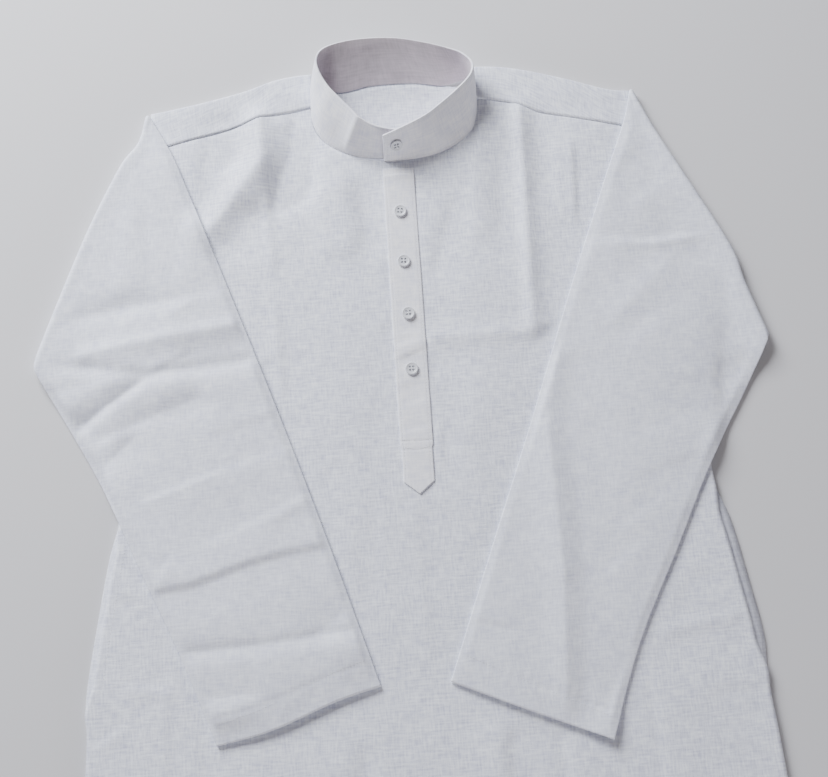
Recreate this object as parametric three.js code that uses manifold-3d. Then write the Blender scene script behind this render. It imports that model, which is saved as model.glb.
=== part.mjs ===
import * as THREE from 'three';
import { mergeVertices } from 'three/addons/utils/BufferGeometryUtils.js';
import Module from 'manifold-3d';

// A band-collar kurta laid face up, sleeves folded over its front.
// Millimetres. x = across (wearer's left is +x), y = towards the collar, z = up from the floor.

// ---- cloth ----
const CLOTH = 1.2; // wall of the body and sleeves
const BAND_CLOTH = 2.0; // wall of the stiffened collar band
const BAG_CLOTH = 1.0; // wall of the pocket bags
const SEAM = 0.3; // space left at a seam and between laid layers
const CELL = 27; // widest mesh cell, used as the flat reach of a drape

// ---- body ----
const BACK_SEAM_Y = -100; // yoke to back panel
const HEM_Y = -975;
const HEM_FOLD = 26; // height of the turned hem
const HEM_EXTRA = 0.8; // its added thickness
const SLIT_Y = -675; // top of the side slits
const SLIT_SHOW = 4; // how far the back edge shows beside the front at a slit
const NECK_X = 80.8; // half width of the neck hole on the front
const YOKE_SLOPE = 0.243; // fall of the front yoke seam per mm outwards
const ARM_X = 226; // half width at the shoulder points
const UNDER_LIFT = 0.3; // lift of the front over the back at the side seams
const MID_LIFT = 2.6; // the same inside the body
const SHOULDER_SPLAY = [190, 228]; // where the shoulder stack thins towards the arm
const SLIT_HALF = 0.5; // half width of the front opening under the placket
const SLIT_END_Y = -332;

// ---- placket ----
const PLACKET_HALF = 14.6;
const PLACKET_TAB_HALF = 13.6; // below the cross stitching
const PLACKET_TAB_Y = -338;
const PLACKET_POINT = 12; // height of its pointed end
const PLACKET_END_Y = -384;
const UNDER_HALF = 12;
const UNDER_TOP_Y = -66.5;

// ---- buttons ----
const BUTTON_R = 5.9;
const BUTTON_TALL = 2.6;
const BUTTON_SIDES = 18;
const BUTTON_HOLE_R = 0.75;
const BUTTON_HOLE_AT = 1.45; // hole centres from the middle, each way
// x, y and turn in degrees of the placket buttons, from the top
const BUTTONS = [[-0.8, -115.5, -8], [-0.6, -165.4, -3], [0.4, -216.4, 2], [0, -269.3, 0]];
const COLLAR_BUTTON = { along: 0.956, tall: 0.55 }; // shares of the band's length and height
const BUTTON_PLAY = 0.4; // under the collar's button

// ---- pockets ----
const MOUTH_TOP_Y = -392;
const MOUTH_END_Y = -556;
const BAG_END_Y = -650;
const BAG_DEEP = 150;
const MOUTH_SHOW = { right: 6, left: 9 }; // strip of bag seen beside the front edge

// ---- sleeves ----
const TUBE_AIR = 0.6; // inside a flattened sleeve
const TUBE_PUFF = 1.6; // added in the middle of the upper part
const TUBE_HALF = CLOTH + TUBE_AIR / 2;
const ARM_Y = [-3, -243]; // armhole seam from the shoulder to the underarm
const ARM_SEAM = [0.9, 2.1]; // sleeve end from the body edge at the shoulder and in the underarm curve
const FOLD_R = [2.7, 3.6]; // radius of the armhole fold at the shoulder and at the underarm
const FOLD_REACH = 26; // how far the folded edge keeps the cloth up
const CRUMPLE = 1.6; // air under the upper part
const CUFF_LIFT = 3.5;
const CUFF_SHARE = 1 - 22 / 470; // start of the cuff's hem along the sleeve
const CUFF_EXTRA = 0.5; // added half thickness of that hem
const HEM_STEP = 0.004;
const DOWN_ROWS = 17;

// y, half width on the wearer's right (-x), half width on the wearer's left (+x)
const OUTLINE = [
  [40, 231, ARM_X], [0, 231, ARM_X], [-37, ARM_X, ARM_X], [-75, 223, 223], [-125, 223, 223],
  [-180, 233, 233],
  [-215, 250, 250], [-243, 272, 271], [-290, 267, 266], [-340, 263, 262], [-385, 264, 261],
  [-422, 274, 272], [-475, 284, 281], [-525, 292.5, 288], [-550, 295, 287], [-570, 293, 286],
  [-605, 294, 288.5], [-675, 297, 292], [-975, 309, 306],
];

// x, y of the shoulder's folded edge
const SHOULDER = [
  [-237, -1], [-190, 7], [-140, 19], [-110, 29.5], [-78, 33.5],
  [84, 32], [117, 28], [165, 14], [206, 0], [237, -3],
];

// Collar band, round from its under end at the front, by the wearer's right, the back and the left.
// base x, y, z and rim x, y, z
const BAND = [
  [14, -59.2, 3.6, 14, -42, 32], [0, -60.4, 3.6, -2, -44, 33], [-32, -57.6, 3.6, -23, -39, 35],
  [-54, -50, 3.6, -38, -26, 36], [-70, -36.5, 3.6, -51, -9, 34], [-78, -19, 3.6, -62, 6, 33],
  [-79, 2, 3.6, -69.5, 21, 33], [-78, 19, 3.2, -71, 35, 30.5], [-71, 27, 2, -65, 45, 30],
  [-50, 21, 0.8, -47, 52.5, 28], [-20, 17.5, 0.3, -22, 55.5, 27], [20, 17.5, 0.3, 6, 55, 25.5],
  [48, 20.5, 0.3, 35, 49, 24], [69, 26, 1.4, 56, 42, 23.5], [78, 20, 2.8, 68.5, 34, 26],
  [79, 2, 3.6, 76, 22, 30], [78, -19, 3.6, 73, 8, 34], [71, -36.5, 3.6, 60, -7, 36],
  [54, -51, 3.6, 42, -22, 36], [32, -59.2, 3.6, 24, -34.5, 36], [0, -63.4, 3.6, 1, -45.5, 36],
  [-13, -63, 3.6, -13, -51, 35],
];

// x, y along each folded sleeve's edges, seen from above: fold by the armhole, inner and outer edges
const SLEEVES = {
  right: {
    fold: [[-237, -2], [-245, -29], [-262, -52], [-291, -112], [-319, -182], [-344, -248]],
    inner: [[-235.5, -3], [-216, -39], [-199, -82], [-162, -186], [-121, -305], [-83, -421], [-44, -547]],
    outer: [[-344, -249], [-308, -308], [-274, -373], [-244, -442], [-213, -512], [-184, -587]],
    cuff: [[-44, -547], [-82, -557], [-137, -577], [-184, -587]],
  },
  left: {
    fold: [[231, -3], [248, -45], [270, -92], [305, -168], [314, -206], [330, -261]],
    inner: [[221, -4], [214, -39], [190, -104], [148, -209], [105, -321], [58, -438], [15, -547]],
    outer: [[330, -262], [299, -310], [259, -374], [221, -446], [180, -523], [148, -603]],
    cuff: [[15, -547], [45, -560], [80, -575], [148, -603]],
  },
};

// Folds pressed or rumpled into the cloth: from x, y to x, y, half width, height
const FRONT_FOLDS = [
  [-128, -20, -123, -152, 9, 1.5], [-123, -152, -119, -261, 9, 1.3], [117, -20, 117, -94, 8, 1.4],
  [117, -94, 113, -234, 8, 1.6], [164, -60, 160, -137, 8, -1.0], [-128, -18, -176, -112, 12, 1.2],
  [-86, -24, -165, -126, 14, -1.1], [30, -239, 137, -226, 12, 1.5], [70, -252, 140, -246, 10, -1.1],
  [-79, -60, -82, -127, 11, 0.9], [-45, -85, -48, -160, 12, -0.9], [30, -320, 26, -365, 9, 1.2],
  [-291, -585, -240, -560, 12, 1.5], [-268, -545, -215, -542, 12, 1.4], [-225, -560, -230, -660, 11, 1.5],
  [184, -590, 186, -720, 12, 1.6], [235, -567, 281, -569, 11, -1.2], [110, -625, 108, -720, 12, 1.4],
  [-60, -600, -75, -760, 16, 1.3], [30, -600, 22, -840, 18, -1.1], [-190, -740, -150, -930, 17, 1.5],
  [150, -760, 172, -940, 17, 1.3], [-40, -820, 60, -850, 15, 1.1],
];
const SLEEVE_FOLDS = {
  right: [
    [-320, -206, -175, -180, 12, 1.8], [-322, -243, -235, -262, 11, 2.0], [-235, -262, -150, -252, 11, 1.6],
    [-312, -290, -240, -266, 12, -1.5], [-300, -309, -235, -268, 12, 1.7],
    [-278, -316, -210, -284, 12, -1.5],
    [-232, -377, -105, -338, 14, 1.5], [-187, -417, -108, -384, 13, -1.4], [-230, -457, -95, -424, 14, -2.0],
    [-235, -440, -110, -405, 13, 1.5], [-207, -508, -70, -499, 13, 1.5],
  ],
  left: [
    [175, -158, 262, -160, 12, 1.8], [262, -160, 298, -165, 11, 2.2], [102, -366, 97, -560, 20, 1.6],
    [135, -300, 124, -433, 18, -1.6], [40, -500, 84, -512, 10, 1.3], [160, -330, 235, -300, 16, 1.2],
  ],
};

// ---- small maths ----
const range = n => Array.from({ length: n + 1 }, (_, i) => i / n);
const clamp = (v, lo = 0, hi = 1) => Math.min(Math.max(v, lo), hi);
const mix = (a, b, t) => a + (b - a) * t;
const mixRow = (a, b, t) => a.map((v, c) => mix(v, b[c], t));
const ease = (from, to, v) => {
  const t = clamp((v - from) / (to - from));
  return t * t * (3 - 2 * t);
};

// Smooth curve through a table whose first column is the key.
function keyed(rows, key) {
  const last = rows.length - 1;
  const sense = Math.sign(rows[last][0] - rows[0][0]);
  let i = 0;
  while (i < last - 1 && sense * rows[i + 1][0] < sense * key) i++;
  const [a, b] = [rows[i], rows[i + 1]];
  const span = b[0] - a[0];
  const t = clamp((key - a[0]) / span);
  const slope = (k, c) => {
    const [p, q] = [rows[Math.max(k - 1, 0)], rows[Math.min(k + 1, last)]];
    return ((q[c] - p[c]) / (q[0] - p[0])) * span;
  };
  return a.slice(1).map((v, n) => {
    const c = n + 1;
    const [p, q, m, o] = [v, b[c], slope(i, c), slope(i + 1, c)];
    return p + t * (m + t * (3 * (q - p) - 2 * m - o + t * (2 * (p - q) + m + o)));
  });
}
// The same with t = 0 at the first row and t = 1 at the last.
const through = (rows, t) => keyed(rows.map((row, i) => [i, ...row]), t * (rows.length - 1));
// A function of t that goes along such a curve at an even pace.
function evenly(rows) {
  const steps = 120;
  const line = range(steps).map(t => through(rows, t));
  const gone = [0];
  for (let i = 1; i <= steps; i++) {
    gone.push(gone[i - 1] + Math.hypot(line[i][0] - line[i - 1][0], line[i][1] - line[i - 1][1]));
  }
  const table = line.map((point, i) => [gone[i] / gone[steps], ...point]);
  return t => keyed(table, t);
}

// Sum of soft ridges and troughs at a place.
function foldHeight(table, x, y) {
  let height = 0;
  for (const [x0, y0, x1, y1, half, tall] of table) {
    const [dx, dy] = [x1 - x0, y1 - y0];
    const along = clamp(((x - x0) * dx + (y - y0) * dy) / (dx * dx + dy * dy));
    const off = Math.hypot(x - x0 - along * dx, y - y0 - along * dy);
    height += tall * Math.exp(-((off / half) ** 2)) * Math.sin(Math.PI * clamp(along, 0.08, 0.92));
  }
  return height;
}

// ---- the laid body ----
const halfWidth = (x, y) => keyed(OUTLINE, y)[x < 0 ? 0 : 1];
const shoulderY = x => keyed(SHOULDER, x)[0];
const yokeSeamY = x => -2 - YOKE_SLOPE * (Math.abs(x) - NECK_X);
const showAt = (x, y) => {
  const show = x < 0 ? MOUTH_SHOW.right : MOUTH_SHOW.left;
  const mouth = ease(MOUTH_TOP_Y + 4, MOUTH_TOP_Y - 30, y) * ease(MOUTH_END_Y - 2, MOUTH_END_Y + 30, y);
  return show * mouth + SLIT_SHOW * ease(SLIT_Y, SLIT_Y - 60, y);
};
const frontHalf = (x, y) => halfWidth(x, y) - showAt(x, y);

// Radius of the yoke's fold over the shoulder: it sets the height of the shoulder stack.
const yokeR = x => mix(1.85, 1.3, ease(...SHOULDER_SPLAY, Math.abs(x)));
const shoulderUnder = x => 2 * yokeR(x); // underside of the upper yoke layer

// 1 where the front is bare, 0 under the sleeves
function bare(x, y) {
  const edges = x < 0 ? SLEEVES.right : SLEEVES.left;
  const [[x0, y0], [x1, y1]] = [edges.inner[0], edges.inner[edges.inner.length - 1]];
  const side = Math.sign(x);
  const fromSleeve = side * (mix(x0, x1, (y - y0) / (y1 - y0)) - x);
  const [[a0, b0], [a1, b1]] = [edges.cuff[0], edges.cuff[edges.cuff.length - 1]];
  const belowCuff = mix(b0, b1, (x - a0) / (a1 - a0)) - y;
  const [[c0, d0], [c1, d1]] = [edges.outer[0], edges.outer[edges.outer.length - 1]];
  const outside = y < -380 ? side * (x - mix(c0, c1, (y - d0) / (d1 - d0))) : 0;
  return Math.max(ease(2, CELL, fromSleeve), ease(2, CELL, belowCuff), ease(2, CELL, outside));
}

// Underside of the front panel
function frontUnder(x, y, topY) {
  const half = frontHalf(x, y);
  const inside = ease(0, 0.24, 1 - Math.abs(x) / half);
  let lift = mix(UNDER_LIFT, MID_LIFT, inside);
  const [bagLow, bagHigh] = [BAG_END_Y - 2 * CELL, MOUTH_TOP_Y + 2.4 * CELL];
  const bag = ease(bagLow, bagLow + CELL, y) * ease(bagHigh, bagHigh - CELL, y);
  lift = mix(lift, MID_LIFT, bag);
  lift = mix(lift, Math.max(Math.min(lift, 1.6), HEM_EXTRA + SEAM), ease(HEM_Y + 90, HEM_Y + 30, y));
  const flat = CLOTH + SEAM + lift;
  const free = ease(20, 44, Math.abs(x)) * bare(x, y) * ease(0, 30, half - Math.abs(x));
  const pressed = foldHeight(FRONT_FOLDS, x, y) * free;
  const field = Math.max(flat + pressed, CLOTH + SEAM);
  const overBag = bag * ease(half - BAG_DEEP - 2 * CELL, half - BAG_DEEP - CELL, Math.abs(x));
  const laid = mix(field, Math.max(field, CLOTH + SEAM + MID_LIFT), overBag);
  return mix(shoulderUnder(x), laid, ease(0, 70, topY - y));
}
const frontTopEdge = x => (Math.abs(x) > NECK_X - 1 ? yokeSeamY(x) : -64);

// Highest surface of the body at a place, 0 outside it
function bodyTop(x, y) {
  if (Math.abs(x) > halfWidth(x, y) || y > shoulderY(x) || y < HEM_Y) return 0;
  const topY = frontTopEdge(x);
  return y > topY ? shoulderUnder(x) + CLOTH : frontUnder(x, y, topY) + CLOTH;
}

// ---- closed meshes ----
function closed(position, index) {
  let volume = 0;
  for (let t = 0; t < index.length; t += 3) {
    const [a, b, c] = [0, 1, 2].map(k => new THREE.Vector3(...position[index[t + k]]));
    volume += a.dot(b.cross(c));
  }
  if (volume < 0) index.reverse();
  const used = [...new Set(index)];
  const place = new Map(used.map((v, i) => [v, i]));
  const geometry = new THREE.BufferGeometry();
  geometry.setAttribute('position', new THREE.Float32BufferAttribute(used.flatMap(v => position[v]), 3));
  geometry.setIndex(index.map(v => place.get(v)));
  geometry.computeVertexNormals();
  return geometry;
}

// Sheet of cloth from two grids of points; keep(i, j) says which cells are cloth.
function sheet(top, under, keep = () => true) {
  const [rows, cols] = [top.length, top[0].length];
  const index = [];
  const at = (i, j, side) => side * rows * cols + i * cols + j;
  const quad = (a, b, c, d) => index.push(a, b, c, a, c, d);
  const cloth = (i, j) => i >= 0 && j >= 0 && i < rows - 1 && j < cols - 1 && keep(i, j);
  for (let i = 0; i < rows - 1; i++) {
    for (let j = 0; j < cols - 1; j++) {
      if (!cloth(i, j)) continue;
      quad(at(i, j, 0), at(i, j + 1, 0), at(i + 1, j + 1, 0), at(i + 1, j, 0));
      quad(at(i, j, 1), at(i + 1, j, 1), at(i + 1, j + 1, 1), at(i, j + 1, 1));
      const wall = (i0, j0, i1, j1) => quad(at(i1, j1, 0), at(i0, j0, 0), at(i0, j0, 1), at(i1, j1, 1));
      if (!cloth(i - 1, j)) wall(i, j, i, j + 1);
      if (!cloth(i + 1, j)) wall(i + 1, j + 1, i + 1, j);
      if (!cloth(i, j - 1)) wall(i + 1, j, i, j);
      if (!cloth(i, j + 1)) wall(i, j + 1, i + 1, j + 1);
    }
  }
  return closed([...top.flat(), ...under.flat()], index);
}

// Tube of cloth from rings of outer and inner points.
function tube(outer, inner) {
  const [rows, count] = [outer.length, outer[0].length];
  const index = [];
  const at = (i, k, side) => side * rows * count + i * count + (k % count);
  const quad = (a, b, c, d) => index.push(a, b, c, a, c, d);
  for (let k = 0; k < count; k++) {
    for (let i = 0; i < rows - 1; i++) {
      quad(at(i, k, 0), at(i, k + 1, 0), at(i + 1, k + 1, 0), at(i + 1, k, 0));
      quad(at(i, k, 1), at(i + 1, k, 1), at(i + 1, k + 1, 1), at(i, k + 1, 1));
    }
    quad(at(0, k + 1, 0), at(0, k, 0), at(0, k, 1), at(0, k + 1, 1));
    quad(at(rows - 1, k, 0), at(rows - 1, k + 1, 0), at(rows - 1, k + 1, 1), at(rows - 1, k, 1));
  }
  return closed([...outer.flat(), ...inner.flat()], index);
}

const COTTON = { color: 0xe9ecf1, roughness: 0.9 };
function piece(name, geometry, look = COTTON) {
  const mesh = new THREE.Mesh(geometry, new THREE.MeshStandardMaterial({ name, ...look }));
  mesh.name = name;
  return mesh;
}

const evenWall = () => CLOTH;
const hemWall = y => CLOTH + HEM_EXTRA * ease(HEM_Y + HEM_FOLD + 2, HEM_Y + HEM_FOLD, y);
const raise = (grid, wall) => grid.map(row => row.map(([x, y, z]) => [x, y, z + wall(y)]));
const downRows = (n, power) => {
  const reach = 1 - HEM_FOLD / -HEM_Y;
  return [...range(n).map(t => reach * t ** power - 0.001 * t), reach + 0.0012, 1];
};

// ---- line of the collar band ----
const UP = new THREE.Vector3(0, 0, 1);
function bandFrame(t) {
  const at = s => through(BAND, clamp(s));
  const [now, before, after] = [at(t), at(t - 0.01), at(t + 0.01)];
  const base = new THREE.Vector3(...now.slice(0, 3));
  const rim = new THREE.Vector3(...now.slice(3));
  const along = new THREE.Vector3(...after.slice(0, 3)).sub(new THREE.Vector3(...before.slice(0, 3)));
  along.add(new THREE.Vector3(...after.slice(3)).sub(new THREE.Vector3(...before.slice(3)))).normalize();
  const normal = new THREE.Vector3().crossVectors(rim.clone().sub(base), along).normalize();
  const level = new THREE.Vector3().crossVectors(UP, along.setZ(0).normalize()).normalize();
  return { base, rim, normal, level };
}

// The front's neck edge is the band's base moved out: reach 0 at the yoke seam, 1 near the placket.
const CLEAR = BAND_CLOTH / 2 + SEAM + 0.3;
const NECK_RUN = { right: [5.75, 2.3], left: [15.25, 19.2] }; // rows of BAND the edge runs between
function frontNeck(side, reach) {
  const [from, to] = side < 0 ? NECK_RUN.right : NECK_RUN.left;
  const { base, level } = bandFrame(mix(from, to, reach) / (BAND.length - 1));
  const { x, y } = base.addScaledVector(level, CLEAR);
  return [x, y];
}
const FRONT_TOP_Y = -65.1; // its lowest point, over the placket

// ---- panels ----
function back() {
  const top = BACK_SEAM_Y - SEAM;
  const grid = downRows(32, 1).map(v => range(6).map(c => {
    const y = mix(top, HEM_Y, v);
    const side = c * 2 - 1;
    return [side * halfWidth(side, y), y, 0];
  }));
  return piece('back', sheet(raise(grid, hemWall), grid));
}

// Column lines of one half of the front, from the side to the middle: a start on the top edge and
// the share of the width that the line keeps further down
function frontColumns(side) {
  const NECK_SHARE = 0.36;
  const shoulder = range(6).slice(0, -1).map(c => {
    const start = mix(ARM_X, NECK_X, c);
    return { side, share: mix(1, NECK_SHARE, c), top: [side * start, yokeSeamY(start) - SEAM] };
  });
  const neck = range(7).map(c => ({ side, share: mix(NECK_SHARE, 0.03, c), top: frontNeck(side, c) }));
  neck[0].top = [side * NECK_X, yokeSeamY(NECK_X) - SEAM];
  const placket = [PLACKET_HALF, SLIT_HALF].map(x => ({ side, x: side * x, top: [side * x, FRONT_TOP_Y] }));
  return [...shoulder, ...neck, ...placket];
}
const COLUMNS = [...frontColumns(-1), ...frontColumns(1).reverse()];
const ROWS = downRows(35, 1.12);
const FRONT_GRID = ROWS.map(v => COLUMNS.map(({ side, share, x, top }) => {
  const y = mix(top[1], HEM_Y, v);
  const regular = x === undefined ? side * mix(PLACKET_HALF, frontHalf(side, y), share) : x;
  const across = share === 1 ? regular : mix(top[0], regular, ease(0, 0.3, v));
  return [across, y, frontUnder(across, y, top[1])];
}));
const MIDDLE = COLUMNS.length / 2 - 1;

function front() {
  const slit = (i, j) => j === MIDDLE && FRONT_GRID[i + 1][j][1] > SLIT_END_Y;
  return piece('front', sheet(raise(FRONT_GRID, hemWall), FRONT_GRID, (i, j) => !slit(i, j)));
}

// Height of the front's upper face down its middle, read off its own rows
function middleTop(y) {
  const line = FRONT_GRID.map(row => [row[MIDDLE][1], row[MIDDLE][2] + hemWall(row[MIDDLE][1])]);
  const i = clamp(line.findIndex(([at]) => at < y), 1, line.length - 1);
  const [[y0, z0], [y1, z1]] = [line[i - 1], line[i]];
  return mix(z0, z1, (y - y0) / (y1 - y0));
}

// The placket is the front's own points moved out, then its pointed tab.
function placketOver() {
  const tabTop = PLACKET_END_Y + PLACKET_POINT;
  const own = FRONT_GRID.map(row => row[MIDDLE][1]).filter(y => y > tabTop + 4);
  const stations = [...own, PLACKET_TAB_Y, PLACKET_TAB_Y - 2, tabTop].sort((a, b) => b - a);
  const halfAt = y => mix(PLACKET_TAB_HALF, PLACKET_HALF, ease(PLACKET_TAB_Y - 2, PLACKET_TAB_Y, y));
  const shares = [-1, -0.5, 0, 0.5, 1];
  const rows = stations.map(y => shares.map(s => [s * halfAt(y), y, middleTop(y) + SEAM]));
  rows.push(shares.map(s => {
    const y = PLACKET_END_Y + PLACKET_POINT * Math.abs(s) * 0.9;
    return [s * PLACKET_TAB_HALF, y, middleTop(y) + SEAM];
  }));
  return piece('placket_over', sheet(raise(rows, evenWall), rows));
}
function placketUnder() {
  const rows = range(10).map(t => {
    const y = mix(UNDER_TOP_Y, SLIT_END_Y - 8, t);
    return [-1, 1].map(s => [s * UNDER_HALF, y, CLOTH + SEAM]);
  });
  return piece('placket_under', sheet(raise(rows, evenWall), rows));
}

// ---- yoke: one layer under the back neck, folded over the shoulders to the front seams ----
function yoke() {
  const half = CLOTH / 2;
  const wing = range(7).map(t => mix(ARM_X, NECK_X - 0.4, t));
  const hole = range(12).slice(1, -1).map(t => -Math.cos(Math.PI * t));
  const xs = [...wing.map(x => -x), ...hole.map(h => h * (NECK_X - 0.4)), ...wing.reverse()];
  const foldY = x => shoulderY(x) - yokeR(x) - half;
  const backNeck = x => {
    const s = Math.abs(x) / NECK_X;
    return mix(15.4, foldY(x), s ** 5) - 0.6;
  };
  const inWing = x => Math.abs(x) > NECK_X - 1;
  const under = 4, wrap = 4, over = 2;
  const line = x => { // mid-surface point and normal for each row of one column
    const [r, yf] = [yokeR(x), inWing(x) ? foldY(x) : backNeck(x)];
    const low = range(under).map(t => ({ y: mix(BACK_SEAM_Y, yf, t), z: half, ny: 0, nz: -1 }));
    const turn = range(wrap).slice(1).map(t => {
      const a = Math.PI * t;
      return { y: yf + r * Math.sin(a), z: half + r * (1 - Math.cos(a)), ny: Math.sin(a), nz: -Math.cos(a) };
    });
    const top = { z: half + 2 * r, ny: 0, nz: 1 };
    const high = range(over).slice(1).map(t => ({ y: mix(yf, yokeSeamY(x), t), ...top }));
    return [...low, ...turn, ...high];
  };
  const lines = xs.map(line);
  const face = sense => lines[0].map((_, i) => lines.map((column, j) => {
    const { y, z, ny, nz } = column[i];
    const spread = (halfWidth(xs[j], y) - NECK_X) / (ARM_X - NECK_X);
    const x = inWing(xs[j]) ? NECK_X + (Math.abs(xs[j]) - NECK_X) * spread : Math.abs(xs[j]);
    return [Math.sign(xs[j]) * x, y + sense * half * ny, z + sense * half * nz];
  }));
  const keep = (i, j) => i < under || (inWing(xs[j]) && inWing(xs[j + 1]) && xs[j] * xs[j + 1] > 0);
  return piece('yoke', sheet(face(1), face(-1), keep));
}

// ---- collar band ----
function collar() {
  const [around, tall] = [48, 3];
  const half = BAND_CLOTH / 2;
  const face = sense => range(around).map(t => range(tall).map(h => {
    const { base, rim, normal, level } = bandFrame(t);
    const aside = h === 0 ? level : normal;
    return base.clone().lerp(rim, h).addScaledVector(aside, sense * half).toArray();
  }));
  return piece('collar', sheet(face(1), face(-1)));
}

// ---- pocket bags: one strip folded double, open at the side ----
function pocket(name, side) {
  const half = BAG_CLOTH / 2;
  const lowZ = CLOTH + SEAM + half;
  const r = (BAG_CLOTH + SEAM) / 2;
  const across = [0, 0.5, 1];
  const turn = [0.25, 0.5, 0.75];
  const line = y => {
    const out = halfWidth(side, y) - mix(5, 1, ease(MOUTH_END_Y - 12, MOUTH_END_Y + 8, y));
    const edge = frontHalf(side, y) - 5;
    const v = (y - MOUTH_TOP_Y) / (BAG_END_Y - MOUTH_TOP_Y);
    const rounded = Math.sin(Math.PI * clamp(v, 0.02, 0.98)) ** 0.6;
    const deep = halfWidth(side, y) - BAG_DEEP * mix(0.72, 1, rounded);
    const low = across.map(t => ({ x: mix(out, deep, t), z: lowZ, nx: 0, nz: -1 }));
    const bend = turn.map(t => {
      const a = Math.PI * t;
      const [sin, cos] = [Math.sin(a), Math.cos(a)];
      return { x: deep - r * sin, z: lowZ + r * (1 - cos), nx: -sin, nz: -cos };
    });
    const high = across.map(t => ({ x: mix(deep, edge, t), z: lowZ + 2 * r, nx: 0, nz: 1 }));
    return [...low, ...bend, ...high];
  };
  const ys = range(9).map(t => mix(MOUTH_TOP_Y, BAG_END_Y, t));
  const face = sense => ys.map(y => line(y).map(({ x, z, nx, nz }) =>
    [side * (x + sense * half * nx), y, z + sense * half * nz]));
  return piece(name, sheet(face(1), face(-1)));
}

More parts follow.
